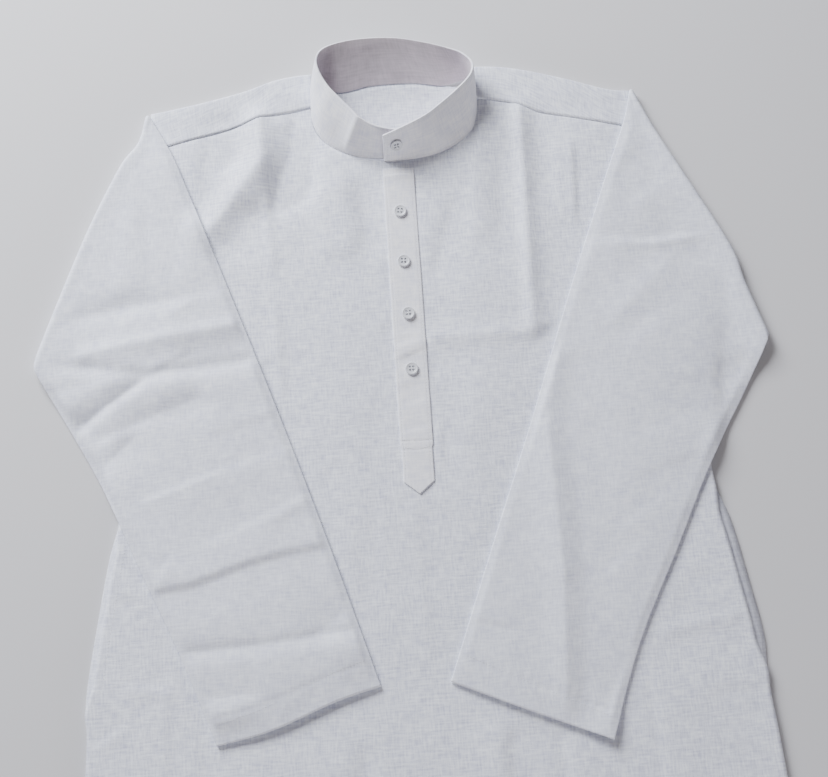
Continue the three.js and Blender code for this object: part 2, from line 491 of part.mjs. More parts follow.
// ---- sleeves ----
function sleeve(name, edges, folds, side) {
  const [foldAt, innerAt, outerAt, cuffAt] = [edges.fold, edges.inner, edges.outer, edges.cuff].map(evenly);
  const arm = t => {
    const y = mix(...ARM_Y, t);
    return [side * (halfWidth(side, y) + mix(...ARM_SEAM, ease(-140, -200, y))), y];
  };
  const [f0, f1] = [foldAt(0), foldAt(1)];
  const long = Math.hypot(f1[0] - f0[0], f1[1] - f0[1]);
  const out = [side * Math.abs(f1[1] - f0[1]) / long, Math.abs(f1[0] - f0[0]) / long];

  // what the upper part lies on: the body, its own lower part, or the floor
  const lowerTop = (x, y) => {
    const t = clamp((y - f0[1]) / (f1[1] - f0[1]));
    return y < f0[1] && y > f1[1] - 6 && Math.abs(x) < Math.abs(foldAt(t)[0]) ? 2 * TUBE_HALF : 0;
  };
  const support = (x, y) => Math.max(bodyTop(x, y), lowerTop(x, y));
  const drape = (x, y) => {
    let height = support(x, y);
    for (const reach of [0.35, 0.7, 1, 1.5]) {
      for (let k = 0; k < 8; k++) {
        const a = (k * Math.PI) / 4 + reach;
        const fall = reach > 1 ? 1.2 : 0;
        const [px, py] = [x + CELL * reach * Math.cos(a), y + CELL * reach * Math.sin(a)];
        height = Math.max(height, support(px, py) - fall);
      }
    }
    return height + SEAM + TUBE_HALF;
  };
  const radius = t => {
    const [x, y] = foldAt(t);
    return Math.max(mix(...FOLD_R, t), (drape(x, y) - TUBE_HALF) / 2 + 0.15);
  };
  const turned = t => { // start of the fold, set in from its silhouette
    const [x, y] = foldAt(t);
    const inset = radius(t) + TUBE_HALF;
    return [x - out[0] * inset, y - out[1] * inset];
  };

  const ts = range(8);
  const rows = [];
  for (const v of [0, 0.5]) {
    rows.push(ts.map(t => ({ at: [...mixRow(arm(t), turned(t), v), TUBE_HALF], n: [0, 0, 1], air: 0 })));
  }
  for (const v of range(6)) {
    const a = Math.PI * v;
    rows.push(ts.map(t => {
      const [x, y] = turned(t);
      const r = radius(t);
      const [sin, cos] = [Math.sin(a), Math.cos(a)];
      const at = [x + out[0] * r * sin, y + out[1] * r * sin, TUBE_HALF + r * (1 - cos)];
      return { at, n: [-out[0] * sin, -out[1] * sin, cos], air: 0 };
    }));
  }
  const down = [...range(DOWN_ROWS).slice(1).map(v => v * CUFF_SHARE), CUFF_SHARE + HEM_STEP, 1];
  for (const v of down) {
    const [foldPull, cuffPull, tipPull] = [(1 - clamp(v / 0.4)) ** 2, ease(0.8, 1, v), clamp(v / 0.05)];
    rows.push(ts.map(t => {
      const [a, b] = [mixRow(turned(0), innerAt(v), tipPull), mixRow(turned(1), outerAt(v), tipPull)];
      const [foldLine, cuffLine] = [mixRow(turned(0), turned(1), t), mixRow(cuffAt(0), cuffAt(1), t)];
      const [x, y] = mixRow(a, b, t).map((c, k) =>
        c + (turned(t)[k] - foldLine[k]) * foldPull + (cuffAt(t)[k] - cuffLine[k]) * cuffPull);
      const gone = Math.hypot(x - turned(t)[0], y - turned(t)[1]);
      const rest = drape(x, y);
      const folded = Math.max(rest, TUBE_HALF + 2 * radius(t));
      const middle = Math.sin(Math.PI * t);
      const free = ease(0, 0.12, v) * ease(0, 0.25, middle);
      const laid = rest + Math.max(CRUMPLE + foldHeight(folds, x, y), 0) * free;
      const z = mix(laid, folded, Math.exp(-((gone / FOLD_REACH) ** 2))) + CUFF_LIFT * ease(0.9, 1, v);
      return { at: [x, y, z], n: [0, 0, -1], air: TUBE_PUFF * middle * ease(0.05, 0.25, v) };
    }));
  }

  // rings: back layer, round the under edge, front layer, round the upper edge
  const ring = (row, thick) => {
    const last = row[row.length - 1];
    const across = new THREE.Vector3(...last.at).sub(new THREE.Vector3(...row[0].at)).normalize();
    const spot = ({ at, n, air }, offset, layer, slide) => {
      const puff = layer < 0 ? air : 0;
      const p = new THREE.Vector3(...at).addScaledVector(new THREE.Vector3(...n), layer * (offset + puff));
      return p.addScaledVector(across, slide).toArray();
    };
    const points = [];
    const level = (node, t, layer) => points.push(spot(node, thick, layer, mix(TUBE_HALF, -TUBE_HALF, t)));
    row.forEach((node, i) => level(node, ts[i], -1));
    for (const a of [-45, 0, 45]) {
      const r = (a * Math.PI) / 180;
      points.push(spot({ ...last, air: 0 }, thick * Math.sin(r), 1, -TUBE_HALF + thick * Math.cos(r)));
    }
    [...row].reverse().forEach((node, i) => level(node, ts[ts.length - 1 - i], 1));
    for (const a of [45, 0, -45]) {
      const r = (a * Math.PI) / 180;
      points.push(spot({ ...row[0], air: 0 }, thick * Math.sin(r), 1, TUBE_HALF - thick * Math.cos(r)));
    }
    return points;
  };
  const outer = rows.map((row, i) => ring(row, TUBE_HALF + (i > rows.length - 3 ? CUFF_EXTRA : 0)));
  const inner = rows.map(row => ring(row, TUBE_AIR / 2));
  return piece(name, tube(outer, inner));
}

// ---- buttons: turned disc with a raised rim and four holes ----
const PEARL = { color: 0xdfe2e6, roughness: 0.35 };
const wasm = await Module();
wasm.setup();
function solid(geometry) {
  const plain = mergeVertices(geometry.deleteAttribute('normal').deleteAttribute('uv'));
  const vertProperties = plain.attributes.position.array;
  const triVerts = new Uint32Array(plain.index.array);
  return new wasm.Manifold(new wasm.Mesh({ numProp: 3, vertProperties, triVerts }));
}
function buttonShape() {
  const [r, tall] = [BUTTON_R, BUTTON_TALL];
  const profile = [
    [0, 0], [0.72 * r, 0], [r, 0.35 * tall], [r, 0.75 * tall],
    [0.86 * r, tall], [0.66 * r, 0.68 * tall], [0, 0.68 * tall],
  ].map(([x, y]) => new THREE.Vector2(x, y));
  let disc = solid(new THREE.LatheGeometry(profile, BUTTON_SIDES).rotateX(Math.PI / 2));
  for (const [sx, sy] of [[1, 1], [-1, 1], [-1, -1], [1, -1]]) {
    const drill = new THREE.CylinderGeometry(BUTTON_HOLE_R, BUTTON_HOLE_R, 3 * tall, 6).rotateX(Math.PI / 2);
    disc = disc.subtract(solid(drill.translate(sx * BUTTON_HOLE_AT, sy * BUTTON_HOLE_AT, 0)));
  }
  const { numProp, vertProperties, triVerts } = disc.getMesh();
  const position = [];
  for (let v = 0; v < vertProperties.length; v += numProp) {
    position.push([...vertProperties.slice(v, v + 3)]);
  }
  return { position, index: [...triVerts] };
}
const BUTTON = buttonShape();
function button(name, centre, normal, degrees) {
  const spin = new THREE.Quaternion().setFromAxisAngle(UP, (degrees * Math.PI) / 180);
  const turn = new THREE.Quaternion().setFromUnitVectors(UP, normal).multiply(spin);
  const place = p => new THREE.Vector3(...p).applyQuaternion(turn).add(centre).toArray();
  const position = BUTTON.position.map(place);
  return piece(name, closed(position, [...BUTTON.index]), PEARL);
}

const garment = new THREE.Group();
garment.name = 'kurta';
garment.add(back(), front(), yoke(), collar(), placketOver(), placketUnder());
const spot = bandFrame(COLLAR_BUTTON.along);
const onBand = spot.base.clone().lerp(spot.rim, COLLAR_BUTTON.tall);
onBand.addScaledVector(spot.normal, BAND_CLOTH / 2 + BUTTON_PLAY);
garment.add(button('button_collar', onBand, spot.normal, 0));
BUTTONS.forEach(([x, y, turn], i) => {
  const centre = new THREE.Vector3(x, y, middleTop(y) + SEAM + CLOTH + 0.2);
  garment.add(button(`button_${i + 1}`, centre, UP, turn));
});
garment.add(pocket('pocket_right', -1), pocket('pocket_left', 1));
garment.add(sleeve('sleeve_right', SLEEVES.right, SLEEVE_FOLDS.right, -1));
garment.add(sleeve('sleeve_left', SLEEVES.left, SLEEVE_FOLDS.left, 1));

// the origin is the middle of the garment's box, on the surface that it lies on
const box = new THREE.Box3().setFromObject(garment);
const middle = box.getCenter(new THREE.Vector3());
garment.position.set(-middle.x, -middle.y, -box.min.z);

export default garment;
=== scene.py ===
"""A band-collar kurta laid face up with its sleeves folded over its front.

The construction frame gives the place; this file makes the cloth, the sewing, the buttons and the stage.
Garment sizes are in millimetres, x towards the wearer's left, y towards the collar, z up.
"""
import math

import bmesh
import bpy
import numpy as np
from bpy.props import FloatProperty, FloatVectorProperty, PointerProperty
from mathutils import Matrix, Vector


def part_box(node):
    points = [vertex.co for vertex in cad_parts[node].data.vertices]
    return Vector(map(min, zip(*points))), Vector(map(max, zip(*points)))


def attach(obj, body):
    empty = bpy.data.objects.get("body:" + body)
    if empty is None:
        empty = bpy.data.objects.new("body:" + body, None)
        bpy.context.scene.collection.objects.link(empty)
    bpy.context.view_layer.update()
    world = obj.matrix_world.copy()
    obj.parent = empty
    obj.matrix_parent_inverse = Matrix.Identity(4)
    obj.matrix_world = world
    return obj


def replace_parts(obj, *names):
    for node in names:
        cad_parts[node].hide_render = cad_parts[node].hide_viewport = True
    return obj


bl_info = {
    "name": "Kurta, laid flat",
    "version": (1, 0, 0),
    "blender": (4, 5, 0),
    "location": "View3D > Sidebar > Kurta",
    "description": "Makes a laid band-collar kurta in cotton with its sewing and buttons",
    "category": "Object",
}

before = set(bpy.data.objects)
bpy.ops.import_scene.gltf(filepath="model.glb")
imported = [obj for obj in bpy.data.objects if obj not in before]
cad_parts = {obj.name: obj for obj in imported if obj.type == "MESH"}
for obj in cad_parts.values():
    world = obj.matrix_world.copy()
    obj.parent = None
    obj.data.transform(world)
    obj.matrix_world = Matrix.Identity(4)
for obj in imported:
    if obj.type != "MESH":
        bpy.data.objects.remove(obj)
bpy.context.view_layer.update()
MM = 0.001

# ---- cloth, in mm ----
CLOTH = 1.2  # wall that the frame gives each panel
SHELL = 0.9  # wall of the made cloth
SEAM = 0.3  # air between pieces
BAND_WALL = 1.9
BAND_AROUND, BAND_TALL = 425, 40  # its pattern
TUBE_HALF = 1.15  # half of a pressed sleeve's height
TUBE_PUFF = 1.6  # air in its middle

# ---- body ----
BACK_SEAM_Y = -100
HEM_Y = -975
HEM_FOLD = 26  # width of the turned hem
SLIT_Y = -675  # top of the side slits
SLIT_SHOW = 4  # how much of the back they show
NECK_X = 80.8
NECK_BACK_Y = 19.2  # middle of the yoke's back neck edge
YOKE_SEAM_Y = -2  # its front seam at the neck
YOKE_SLOPE = 0.243
YOKE_STEP = 4.5  # how much lower the seam runs on the wearer's left
YOKE_LAP = 1.8  # how far the front reaches under the yoke
UNDER_SHARE, WRAP_SHARE = 0.62, 0.12  # of the yoke's rows: under the neck, and round the shoulder's fold
OVER_SHARE = UNDER_SHARE + WRAP_SHARE
WING_TUCK = 3.5  # how far the yoke's wings reach under the band
ARM_X = 226
NECK_COLUMNS = (0.5 - NECK_X / ARM_X / 2, 0.5 + NECK_X / ARM_X / 2)  # shares of the yoke's width
WING_CELLS, HOLE_CELLS = 40, 48  # cells of the yoke's grid: each wing, and the neck's hole
UNDER_CELLS, WRAP_CELLS, OVER_CELLS = 20, 10, 12
UNDER_LIFT = 0.3  # air under the front at its edges
MID_LIFT = 2.6  # and at its middle
FRONT_LOOSE = 1.4  # more air where the front is bare
SHOULDER_SPLAY = (190, 228)  # where the shoulder's fold closes towards the arm
FOLD_RADIUS = (1.85, 1.3)  # of that fold, before and after
NECK_SHARE = 0.36  # of the front's top edge, from its middle
NECK_ROWS = {-1: (5.75, 1.6), 1: (15.25, 19.6)}  # rows of BAND from the yoke seam to the middle
NECK_ON_BAND = 0.88  # share of the neck edge that follows the band
FRONT_TOP_Y = -65.1

# ---- placket ----
PLACKET_HALF = 14.6  # half of its width
PLACKET_TOP_Y = -71.5
PLACKET_WALL = 0.8
TAB_HALF = 13.6  # below its crossed stitches
TAB_Y = -340
PLACKET_POINT = 12
PLACKET_END_Y = -384
TOP_STITCH = 5.5  # the dip of its stitches across, from its top edge
TOP_STITCH_SHARE = 0.0174  # the stitches' share of its length
CROSS_STITCH_Y = (-336, -344)

STAND_HALF = 12  # the lower placket
STAND_TOP_Y = -66.5
STAND_END_Y = -340
STAND_Z = 2.1

STITCH = 2.1  # length seen
PITCH = 2.9  # from stitch to stitch
CROSS_PITCH = 2.2
THREAD_LIFT = {"placket": 0.46, "front": 0.5, "yoke": 0.5, "cuff": 0.04}  # above the cloth's middle
FRONT_LONG = 905  # from the front's top edge to its hem, for its stitches
EDGE_STITCH = 2.2  # topstitching from an edge
SEWN_DIP = 0.28  # how deep a row of stitches pulls the cloth in

# ---- buttons ----
BUTTON_RADIUS = 5.9
BUTTON_TALL = 1.9
# Half of its section, from the middle underneath to the middle on top: shares of the radius and of the height
BUTTON_SECTION = [
    (0, -0.5), (0.6, -0.5), (0.72, -0.49), (0.9, -0.32), (0.985, -0.1), (1, 0.1), (0.985, 0.3),
    (0.95, 0.43), (0.88, 0.48), (0.8, 0.42), (0.72, 0.32), (0.63, 0.25), (0.5, 0.22), (0, 0.22),
]
HOLE_OUT = 1.5  # of its four holes, from its middle each way
HOLE_RADIUS = 1.02
THREAD_OUT = 1.45  # of the thread through them
THREAD_UP = 0.46
THREAD_SIZE = {"length": 3.4, "wide": 0.45, "tall": 0.5}
BUTTON_TURN = (-8, -3, 2, 0)  # degrees, from the top
COLLAR_BUTTON_ALONG = 0.956  # share of the band's length
BUTTON_SINK = 0.35  # how far the buttons settle into the cloth

# ---- pockets ----
MOUTH_TOP_Y = -392  # opening in the side seam
MOUTH_END_Y = -556
BAG_END_Y = -650
BAG_DEEP = 150
BAG_AROUND = 320  # through both layers
BAG_LAYER = 0.42  # share of that in each layer
BAG_FOLD = 0.65  # radius of its fold
BAG_Z = 2.0
BAG_WALL = 0.7
MOUTH_SHOW = (6, 9)  # wearer's right, left

# ---- sleeves ----
SLEEVE_COLUMNS = 77
SLEEVE_ROWS = 250
ARMHOLE_Y = (-3, -243)  # from the shoulder to the underarm
ELBOW_RADIUS = (2.7, 3.6)  # of the folded edge, from the shoulder to the underarm
SLEEVE_AIR = 0.6
CREASE_ROOM = {"right": 3.0, "left": 1.3}  # height that a sleeve's creases swing about
CUFF_HEM = 22  # its stitches, from its edge
CUFF_PUCKERS = 34
ELBOW_ROUND = {"right": 0.93, "left": 0.975}  # share of the folded edge where the elbow's corner begins

# y, half width on the wearer's right, half width on the wearer's left
OUTLINE = [
    (40, 233, 229), (0, 233, 229), (-37, ARM_X, ARM_X), (-75, 223, 223), (-125, 223, 223), (-180, 233, 233),
    (-215, 250, 250), (-243, 272, 271), (-290, 267, 266), (-340, 263, 262), (-385, 264, 261),
    (-422, 274, 272), (-475, 284, 281), (-525, 292.5, 288), (-550, 295, 287), (-570, 293, 286),
    (-605, 294, 288.5), (-675, 297, 292), (-975, 309, 306),
]
# x, y of the shoulder's folded edge
SHOULDER = [
    (-237, -1), (-190, 7), (-140, 19), (-110, 29.5), (-78, 33.5),
    (84, 32), (117, 28), (165, 14), (206, 0), (237, -3),
]
# Collar band, round from its under end at the front: base x, y, z and rim x, y, z
BAND = [
    (14, -59.2, 3.6, 14, -42, 32), (0, -60.4, 3.6, -2, -44, 33), (-32, -57.6, 3.6, -23, -39, 35),
    (-54, -50, 3.6, -38, -26, 36), (-70, -36.5, 3.6, -51, -9, 34), (-78, -19, 3.6, -62, 6, 33),
    (-79, 2, 3.6, -69.5, 21, 33), (-78, 19, 3.2, -71, 35, 30.5), (-70, 19, 2, -65, 45, 30),
    (-50, 13, 1.4, -47, 52.5, 28), (-20, 18.5, 1.2, -22, 55.5, 27), (20, 19, 1.2, 6, 55, 25.5),
    (48, 14.5, 1.2, 35, 49, 24), (70, 19, 1.4, 56, 42, 23.5), (78.5, 14, 2.8, 68.5, 34, 26),
    (79, 2, 3.6, 76, 22, 30), (78, -19, 3.6, 73, 8, 34), (71, -36.5, 3.6, 60, -7, 36),
    (54, -51, 3.6, 42, -22, 36), (32, -59.2, 3.6, 24, -34.5, 36), (0, -63.4, 3.6, 1, -45.5, 36),
    (-13, -63, 3.6, -13, -51, 35),
]
# x, y along each folded sleeve's edges
SLEEVES = {
    "right": {
        "fold": [(-237, -2), (-245, -29), (-262, -52), (-291, -112), (-319, -182), (-344, -248)],
        "inner": [(-235.5, -3), (-216, -39), (-199, -82), (-162, -186), (-121, -305), (-83, -421), (-44, -547)],
        "outer": [(-344, -249), (-308, -308), (-274, -373), (-244, -442), (-213, -512), (-184, -587)],
        "cuff": [(-44, -547), (-82, -557), (-137, -577), (-184, -587)],
    },
    "left": {
        "fold": [(231, -3), (248, -45), (270, -92), (305, -168), (314, -206), (330, -261)],
        "inner": [(221, -4), (214, -39), (190, -104), (148, -209), (105, -321), (58, -438), (15, -547)],
        "outer": [(330, -262), (299, -310), (259, -374), (221, -446), (180, -523), (148, -603)],
        "cuff": [(15, -547), (45, -560), (80, -575), (148, -603)],
    },
}
SIDES = {"right": -1, "left": 1}

LEAN = np.array([-0.58, 0.81])  # level direction of the upper left
CREASE_FADE = 24  # how far a crease's change of height dies away
CREASE_END = 11  # how far its ends die away
CREASE_SLOPE = 0.27  # slope of a crease with a lean of 1
# Creases of the cloth, each one or two strips beside a line: from x, y to x, y, then for each strip its width
# (+ on the left of the line's run, - on its right) and lean (+ up towards the upper left, - to the lower right)
FRONT_CREASES = [
    (-131, -6, -129, -60, -28, 1.1), (-129, -4, -124, -104, 18, -1.9), (-88, -6, -120, -106, -24, -1.1),
    (-127, -58, -184, -130, -28, 1.0, 24, -1.3), (-176, -40, -190, -112, -14, -0.8),
    (-126, -98, -122, -168, -9, 0.7, 10, -0.9), (-122, -203, -119, -292, -8, 0.6, 11, -0.8),
    (-84, -6, -86, -92, 18, 1.0, -24, -0.8), (-86, -90, -84, -155, 14, 0.5),
    (-120, -25, -86, -10, 8, 0.8, -8, -0.6), (-139, -253, -120, -245, -6, -1.1, 5, 0.8),
    (-38, -80, -34, -155, -20, -0.8), (-27, -78, -24, -120, 6, 0.6), (-27, -233, -14, -226, 8, -0.9),
    (8, -240, 109, -239, 10, 0.6, -17, -0.7), (108, -239, 122, -232, 5, 1.4), (122, -232, 140, -226, 5, 1.3),
    (108, -240, 124, -235, -14, -0.8), (122, -234, 140, -229, -16, -1.0),
    (119, -12, 117, -100, -12, 2.1, 18, -1.6), (117, -98, 113, -237, -12, 2.0, 15, -1.4),
    (166, -57, 162, -132, 6, -2.0, -8, 0.5), (152, -48, 149, -130, -11, 0.4), (98, -54, 92, -142, -20, -0.7),
    (72, -74, 66, -152, -14, 0.6), (50, -108, 28, -178, -18, -0.7), (15, -262, 26, -268, 8, -0.8),
    (20, -322, 19, -358, -4, 1.4, 7, -1.1), (-6, -398, -2, -530, 10, -0.5), (66, -588, 56, -690, -15, -1.3),
    (104, -594, 108, -700, 12, 1.0, -10, -0.5), (-213, -508, -227, -546, -7, 0.6),
    (-227, -544, -230, -650, 8, -1.0, -5, 0.6), (-197, -545, -195, -640, -9, -0.9),
    (-260, -535, -222, -539, 6, 0.7), (-252, -541, -222, -543, -5, -1.0),
    (-292, -587, -257, -567, 5, 1.6, -5, -1.0), (-282, -463, -236, -460, 8, -0.7),
    (200, -470, 260, -468, 5, -0.8), (188, -518, 270, -506, 9, 0.8, -12, -0.7),
    (184, -556, 186, -660, 7, 0.9, -6, -0.6), (238, -567, 286, -569, 4, -1.4), (-40, -380, -44, -480, 10, 0.5),
    (-64, -410, -58, -470, 10, -0.4), (40, -340, 62, -400, 14, -0.3),
    (-60, -600, -75, -780, 16, 0.9, -18, -0.9), (-190, -720, -150, -935, 16, 1.0, -16, -0.9),
    (150, -740, 172, -940, 15, -1.0, -14, 0.9), (22, -700, 16, -860, 15, -0.8),
    (-40, -822, 66, -850, 10, 0.8, -12, -0.7), (-250, -782, -176, -800, 9, 0.8, -10, -0.7),
    (205, -822, 272, -800, 9, 0.8), (60, -655, 134, -692, 10, 0.5), (-150, -648, -64, -658, 9, 0.6),
    (-120, -900, -60, -890, 9, -0.7),
]
SLEEVE_CREASES = {
    "right": [
        (-324, -206, -262, -196, -16, 0.9, 20, -0.5), (-262, -196, -205, -189, -16, 1.1, 20, -0.4),
        (-205, -189, -160, -178, -12, 0.7), (-216, -206, -194, -193, -6, -0.7),
        (-300, -240, -240, -230, 13, 1.1, -18, -0.9), (-240, -230, -150, -217, 13, 1.0, -20, -1.0),
        (-330, -240, -290, -244, -8, -1.2), (-300, -248, -235, -261, 7, -1.2),
        (-235, -261, -139, -250, 9, -1.4, -15, 1.2), (-330, -246, -235, -261, -12, 0.8),
        (-232, -259, -199, -244, 5, -1.3), (-240, -265, -306, -309, -22, -1.6, 11, 1.5),
        (-250, -262, -322, -279, -8, 0.8), (-190, -284, -285, -320, -26, -1.1),
        (-228, -298, -288, -318, 10, 0.8), (-250, -318, -276, -342, -16, -1.3),
        (-225, -312, -168, -295, 9, 0.5), (-190, -308, -108, -298, 8, 0.4), (-182, -322, -108, -302, 6, -0.5),
        (-242, -379, -178, -357, 7, 1.0, -8, -0.3), (-178, -357, -108, -337, 7, 0.6),
        (-188, -419, -130, -398, 8, 0.5), (-130, -398, -98, -380, 8, 0.7), (-130, -399, -98, -385, -9, -0.6),
        (-238, -459, -203, -455, 7, -2.1), (-204, -455, -150, -438, 7, -2.3),
        (-150, -438, -118, -431, 7, -2.2), (-119, -431, -80, -426, 7, -1.8), (-232, -444, -224, -428, -8, 0.9),
        (-215, -509, -150, -506, 11, -1.0, -16, 0.9), (-150, -506, -58, -497, 9, -0.8, -17, 0.9),
        (-97, -500, -60, -474, -18, 0.8), (-93, -506, -74, -546, 5, 0.9, -6, -0.5),
        (-212, -466, -202, -502, 4, -0.6), (-118, -432, -104, -474, 4, -0.4),
        (-150, -352, -130, -424, 4, -0.3), (-196, -548, -150, -546, -14, 0.9),
        (-190, -568, -160, -566, -12, -1.0), (-134, -574, -126, -556, 6, 0.8),
        (-118, -568, -108, -552, -6, -0.7), (-100, -562, -92, -544, 6, 0.8),
        (-238, -96, -236, -184, -16, -0.5), (-262, -90, -274, -180, 14, 0.4),
        (-205, -110, -214, -176, 16, 0.4),
    ],
    "left": [
        (165, -158, 205, -159, 7, 1.0), (203, -160, 228, -163, 7, 1.6, -8, -0.9),
        (226, -163, 262, -159, 7, 2.2, -8, -1.1), (262, -159, 306, -155, 7, 2.2, -9, -1.2),
        (268, -153, 306, -155, 8, -1.0), (286, -173, 306, -167, 5, -1.0),
        (184, -236, 250, -176, 22, 0.4, -22, -0.2), (300, -190, 286, -300, -34, -0.4),
        (320, -270, 254, -366, -14, 0.6), (117, -328, 119, -462, -24, 0.6, 28, -0.9),
        (119, -460, 110, -590, -24, 0.7, 22, -0.9), (132, -262, 117, -330, 24, -0.7),
        (128, -586, 174, -530, -18, 0.8), (33, -496, 72, -507, 5, -1.4, -7, 0.5),
        (194, -383, 252, -366, 8, -0.5), (200, -350, 258, -330, 12, 0.4), (170, -432, 226, -398, 10, 0.4),
        (150, -470, 200, -440, 12, 0.4), (196, -268, 236, -236, 16, 0.4), (205, -92, 236, -60, 12, -0.4),
        (216, -128, 262, -92, 14, 0.4), (24, -540, 44, -548, -8, 0.7), (62, -560, 58, -544, 6, 0.6),
        (88, -572, 84, -552, -7, -0.6),
    ],
}
PLACKET_CREASES = [
    (-14, -79, 14, -79, 8, 1.6, -7, -0.6), (-13, -250, 13, -243, 8, 0.8), (-13, -262, 13, -252, 6, -0.9),
    (-12, -236, 14, -236, 6, 0.6), (-13, -288, 8, -284, 7, -0.5), (-13, -308, 13, -300, 8, 0.5),
    (-12, -330, 12, -326, 6, 0.7), (-12, -138, 12, -142, 8, 0.3),
]
# Dents and ridges of the band: row of BAND, share of its height, half width along, half height, depth
BAND_FOLDS = [
    (2.72, 0.5, 0.2, 0.8, 2.2), (3.4, 0.45, 0.35, 0.7, -1.1), (1.95, 0.5, 0.55, 0.8, -1.7),
    (4.6, 0.6, 0.5, 0.6, 1.0), (17.6, 0.35, 0.4, 0.5, -0.9), (18.6, 0.5, 0.35, 0.6, 0.9),
    (13.5, 0.5, 0.5, 0.7, 0.8), (8.4, 0.6, 0.4, 0.6, 0.7), (19.6, 0.3, 0.3, 0.5, -0.6),
    (11.2, 0.5, 0.7, 0.6, -0.6),
]


# ---- small maths on arrays ----
def mix(a, b, t):
    return a + (b - a) * t


def ease(start, end, value):
    t = np.clip((np.asarray(value, float) - start) / (end - start), 0, 1)
    return t * t * (3 - 2 * t)


def bell(x):
    return np.exp(-(x**2))


def above(height, blunt=0.5):
    """Height kept off what lies below, with a soft touch."""
    return (height + np.hypot(height, blunt)) / 2


def unit(vectors):
    return vectors / np.linalg.norm(vectors, axis=-1, keepdims=True)


def gone_along(line):
    """Length from the start to each point of a line."""
    return np.concatenate([[0], np.cumsum(np.linalg.norm(np.diff(line, axis=0), axis=1))])


def keyed(rows, key):
    """Smooth curve through a table whose first column is the key."""
    table = np.asarray(rows, float)
    key = np.asarray(key, float)
    keys, values = table[:, 0], table[:, 1:]
    if keys[-1] < keys[0]:
        keys, values = keys[::-1], values[::-1]
    last = len(keys) - 1
    i = np.clip(np.searchsorted(keys, key) - 1, 0, last - 1)
    span = (keys[i + 1] - keys[i])[..., None]
    t = np.clip((key - keys[i])[..., None] / span, 0, 1)

    def slope(k):
        a, b = np.maximum(k - 1, 0), np.minimum(k + 1, last)
        return (values[b] - values[a]) / (keys[b] - keys[a])[..., None] * span

    p, q, m, o = values[i], values[i + 1], slope(i), slope(i + 1)
    return p + t * (m + t * (3 * (q - p) - 2 * m - o + t * (2 * (p - q) + m + o)))


def through(rows, t):
    """The same with t = 0 at the first row and t = 1 at the last."""
    return keyed([(i, *row) for i, row in enumerate(rows)], np.asarray(t, float) * (len(rows) - 1))


def evenly(rows, t):
    """Such a curve at an even pace along its length."""
    line = through(rows, np.linspace(0, 1, 241))
    gone = gone_along(line)
    return np.stack([np.interp(np.asarray(t) * gone[-1], gone, column) for column in line.T], -1)


def crease_height(table, x, y, blunt=0.8):
    """Height of the creases at a place: each leans its strip, most at its line."""
    height = np.zeros(np.broadcast(x, y).shape)
    for x0, y0, x1, y1, *strips in table:
        run = np.array([x1 - x0, y1 - y0], float)
        long = np.hypot(*run)
        run /= long
        along = (x - x0) * run[0] + (y - y0) * run[1]
        ends = ease(-CREASE_END, CREASE_END, along) * ease(long + CREASE_END, long - CREASE_END, along)
        for width, lean in zip(strips[::2], strips[1::2]):
            wide = abs(width)
            across = np.array([-run[1], run[0]]) * np.sign(width)
            off = (x - x0) * across[0] + (y - y0) * across[1]
            t = np.clip(above(off, blunt) / wide, 0, 1)
            step = t - t**3 / 3 - 1 / 3
            far = np.maximum(np.maximum(-off, off - wide), 0)
            deep = np.sign(across @ LEAN) * lean * CREASE_SLOPE * wide
            height = height - deep * step * bell(far / CREASE_FADE) * ends
    return height


# ---- the laid body ----
def half_width(x, y):
    widths = keyed(OUTLINE, y)
    return np.where(np.asarray(x) < 0, widths[..., 0], widths[..., 1])


def shoulder_y(x):
    return keyed(SHOULDER, x)[..., 0]


def yoke_seam_y(x):
    return YOKE_SEAM_Y - YOKE_SLOPE * (np.abs(x) - NECK_X) - YOKE_STEP * ease(112, 142, x)


def front_half(x, y):
    show = np.where(np.asarray(x) < 0, *MOUTH_SHOW)
    mouth = ease(MOUTH_TOP_Y + 4, MOUTH_TOP_Y - 30, y) * ease(MOUTH_END_Y - 2, MOUTH_END_Y + 30, y)
    return half_width(x, y) - show * mouth - SLIT_SHOW * ease(SLIT_Y, SLIT_Y - 60, y)


def yoke_r(x):
    return mix(*FOLD_RADIUS, ease(*SHOULDER_SPLAY, np.abs(x)))


def bare(x, y, reach=14):
    """1 where the front is bare, 0 under the sleeves."""
    best = np.zeros(np.broadcast(x, y).shape)
    for name, side in SIDES.items():
        edges = SLEEVES[name]

        def line(edge, key):
            first, last = edges[edge][0], edges[edge][-1]
            a, b = (1, 0) if key == "y" else (0, 1)
            at = y if key == "y" else x
            return mix(first[b], last[b], (at - first[a]) / (last[a] - first[a]))

        from_sleeve = side * (line("inner", "y") - x)
        below = line("cuff", "x") - y
        outside = np.where(y < -380, side * (x - line("outer", "y")), 0)
        shown = np.maximum(ease(-4, reach, from_sleeve), ease(0, reach, np.maximum(below, outside)))
        best = np.maximum(best, np.where(side * x >= 0, shown, 0))
    return best


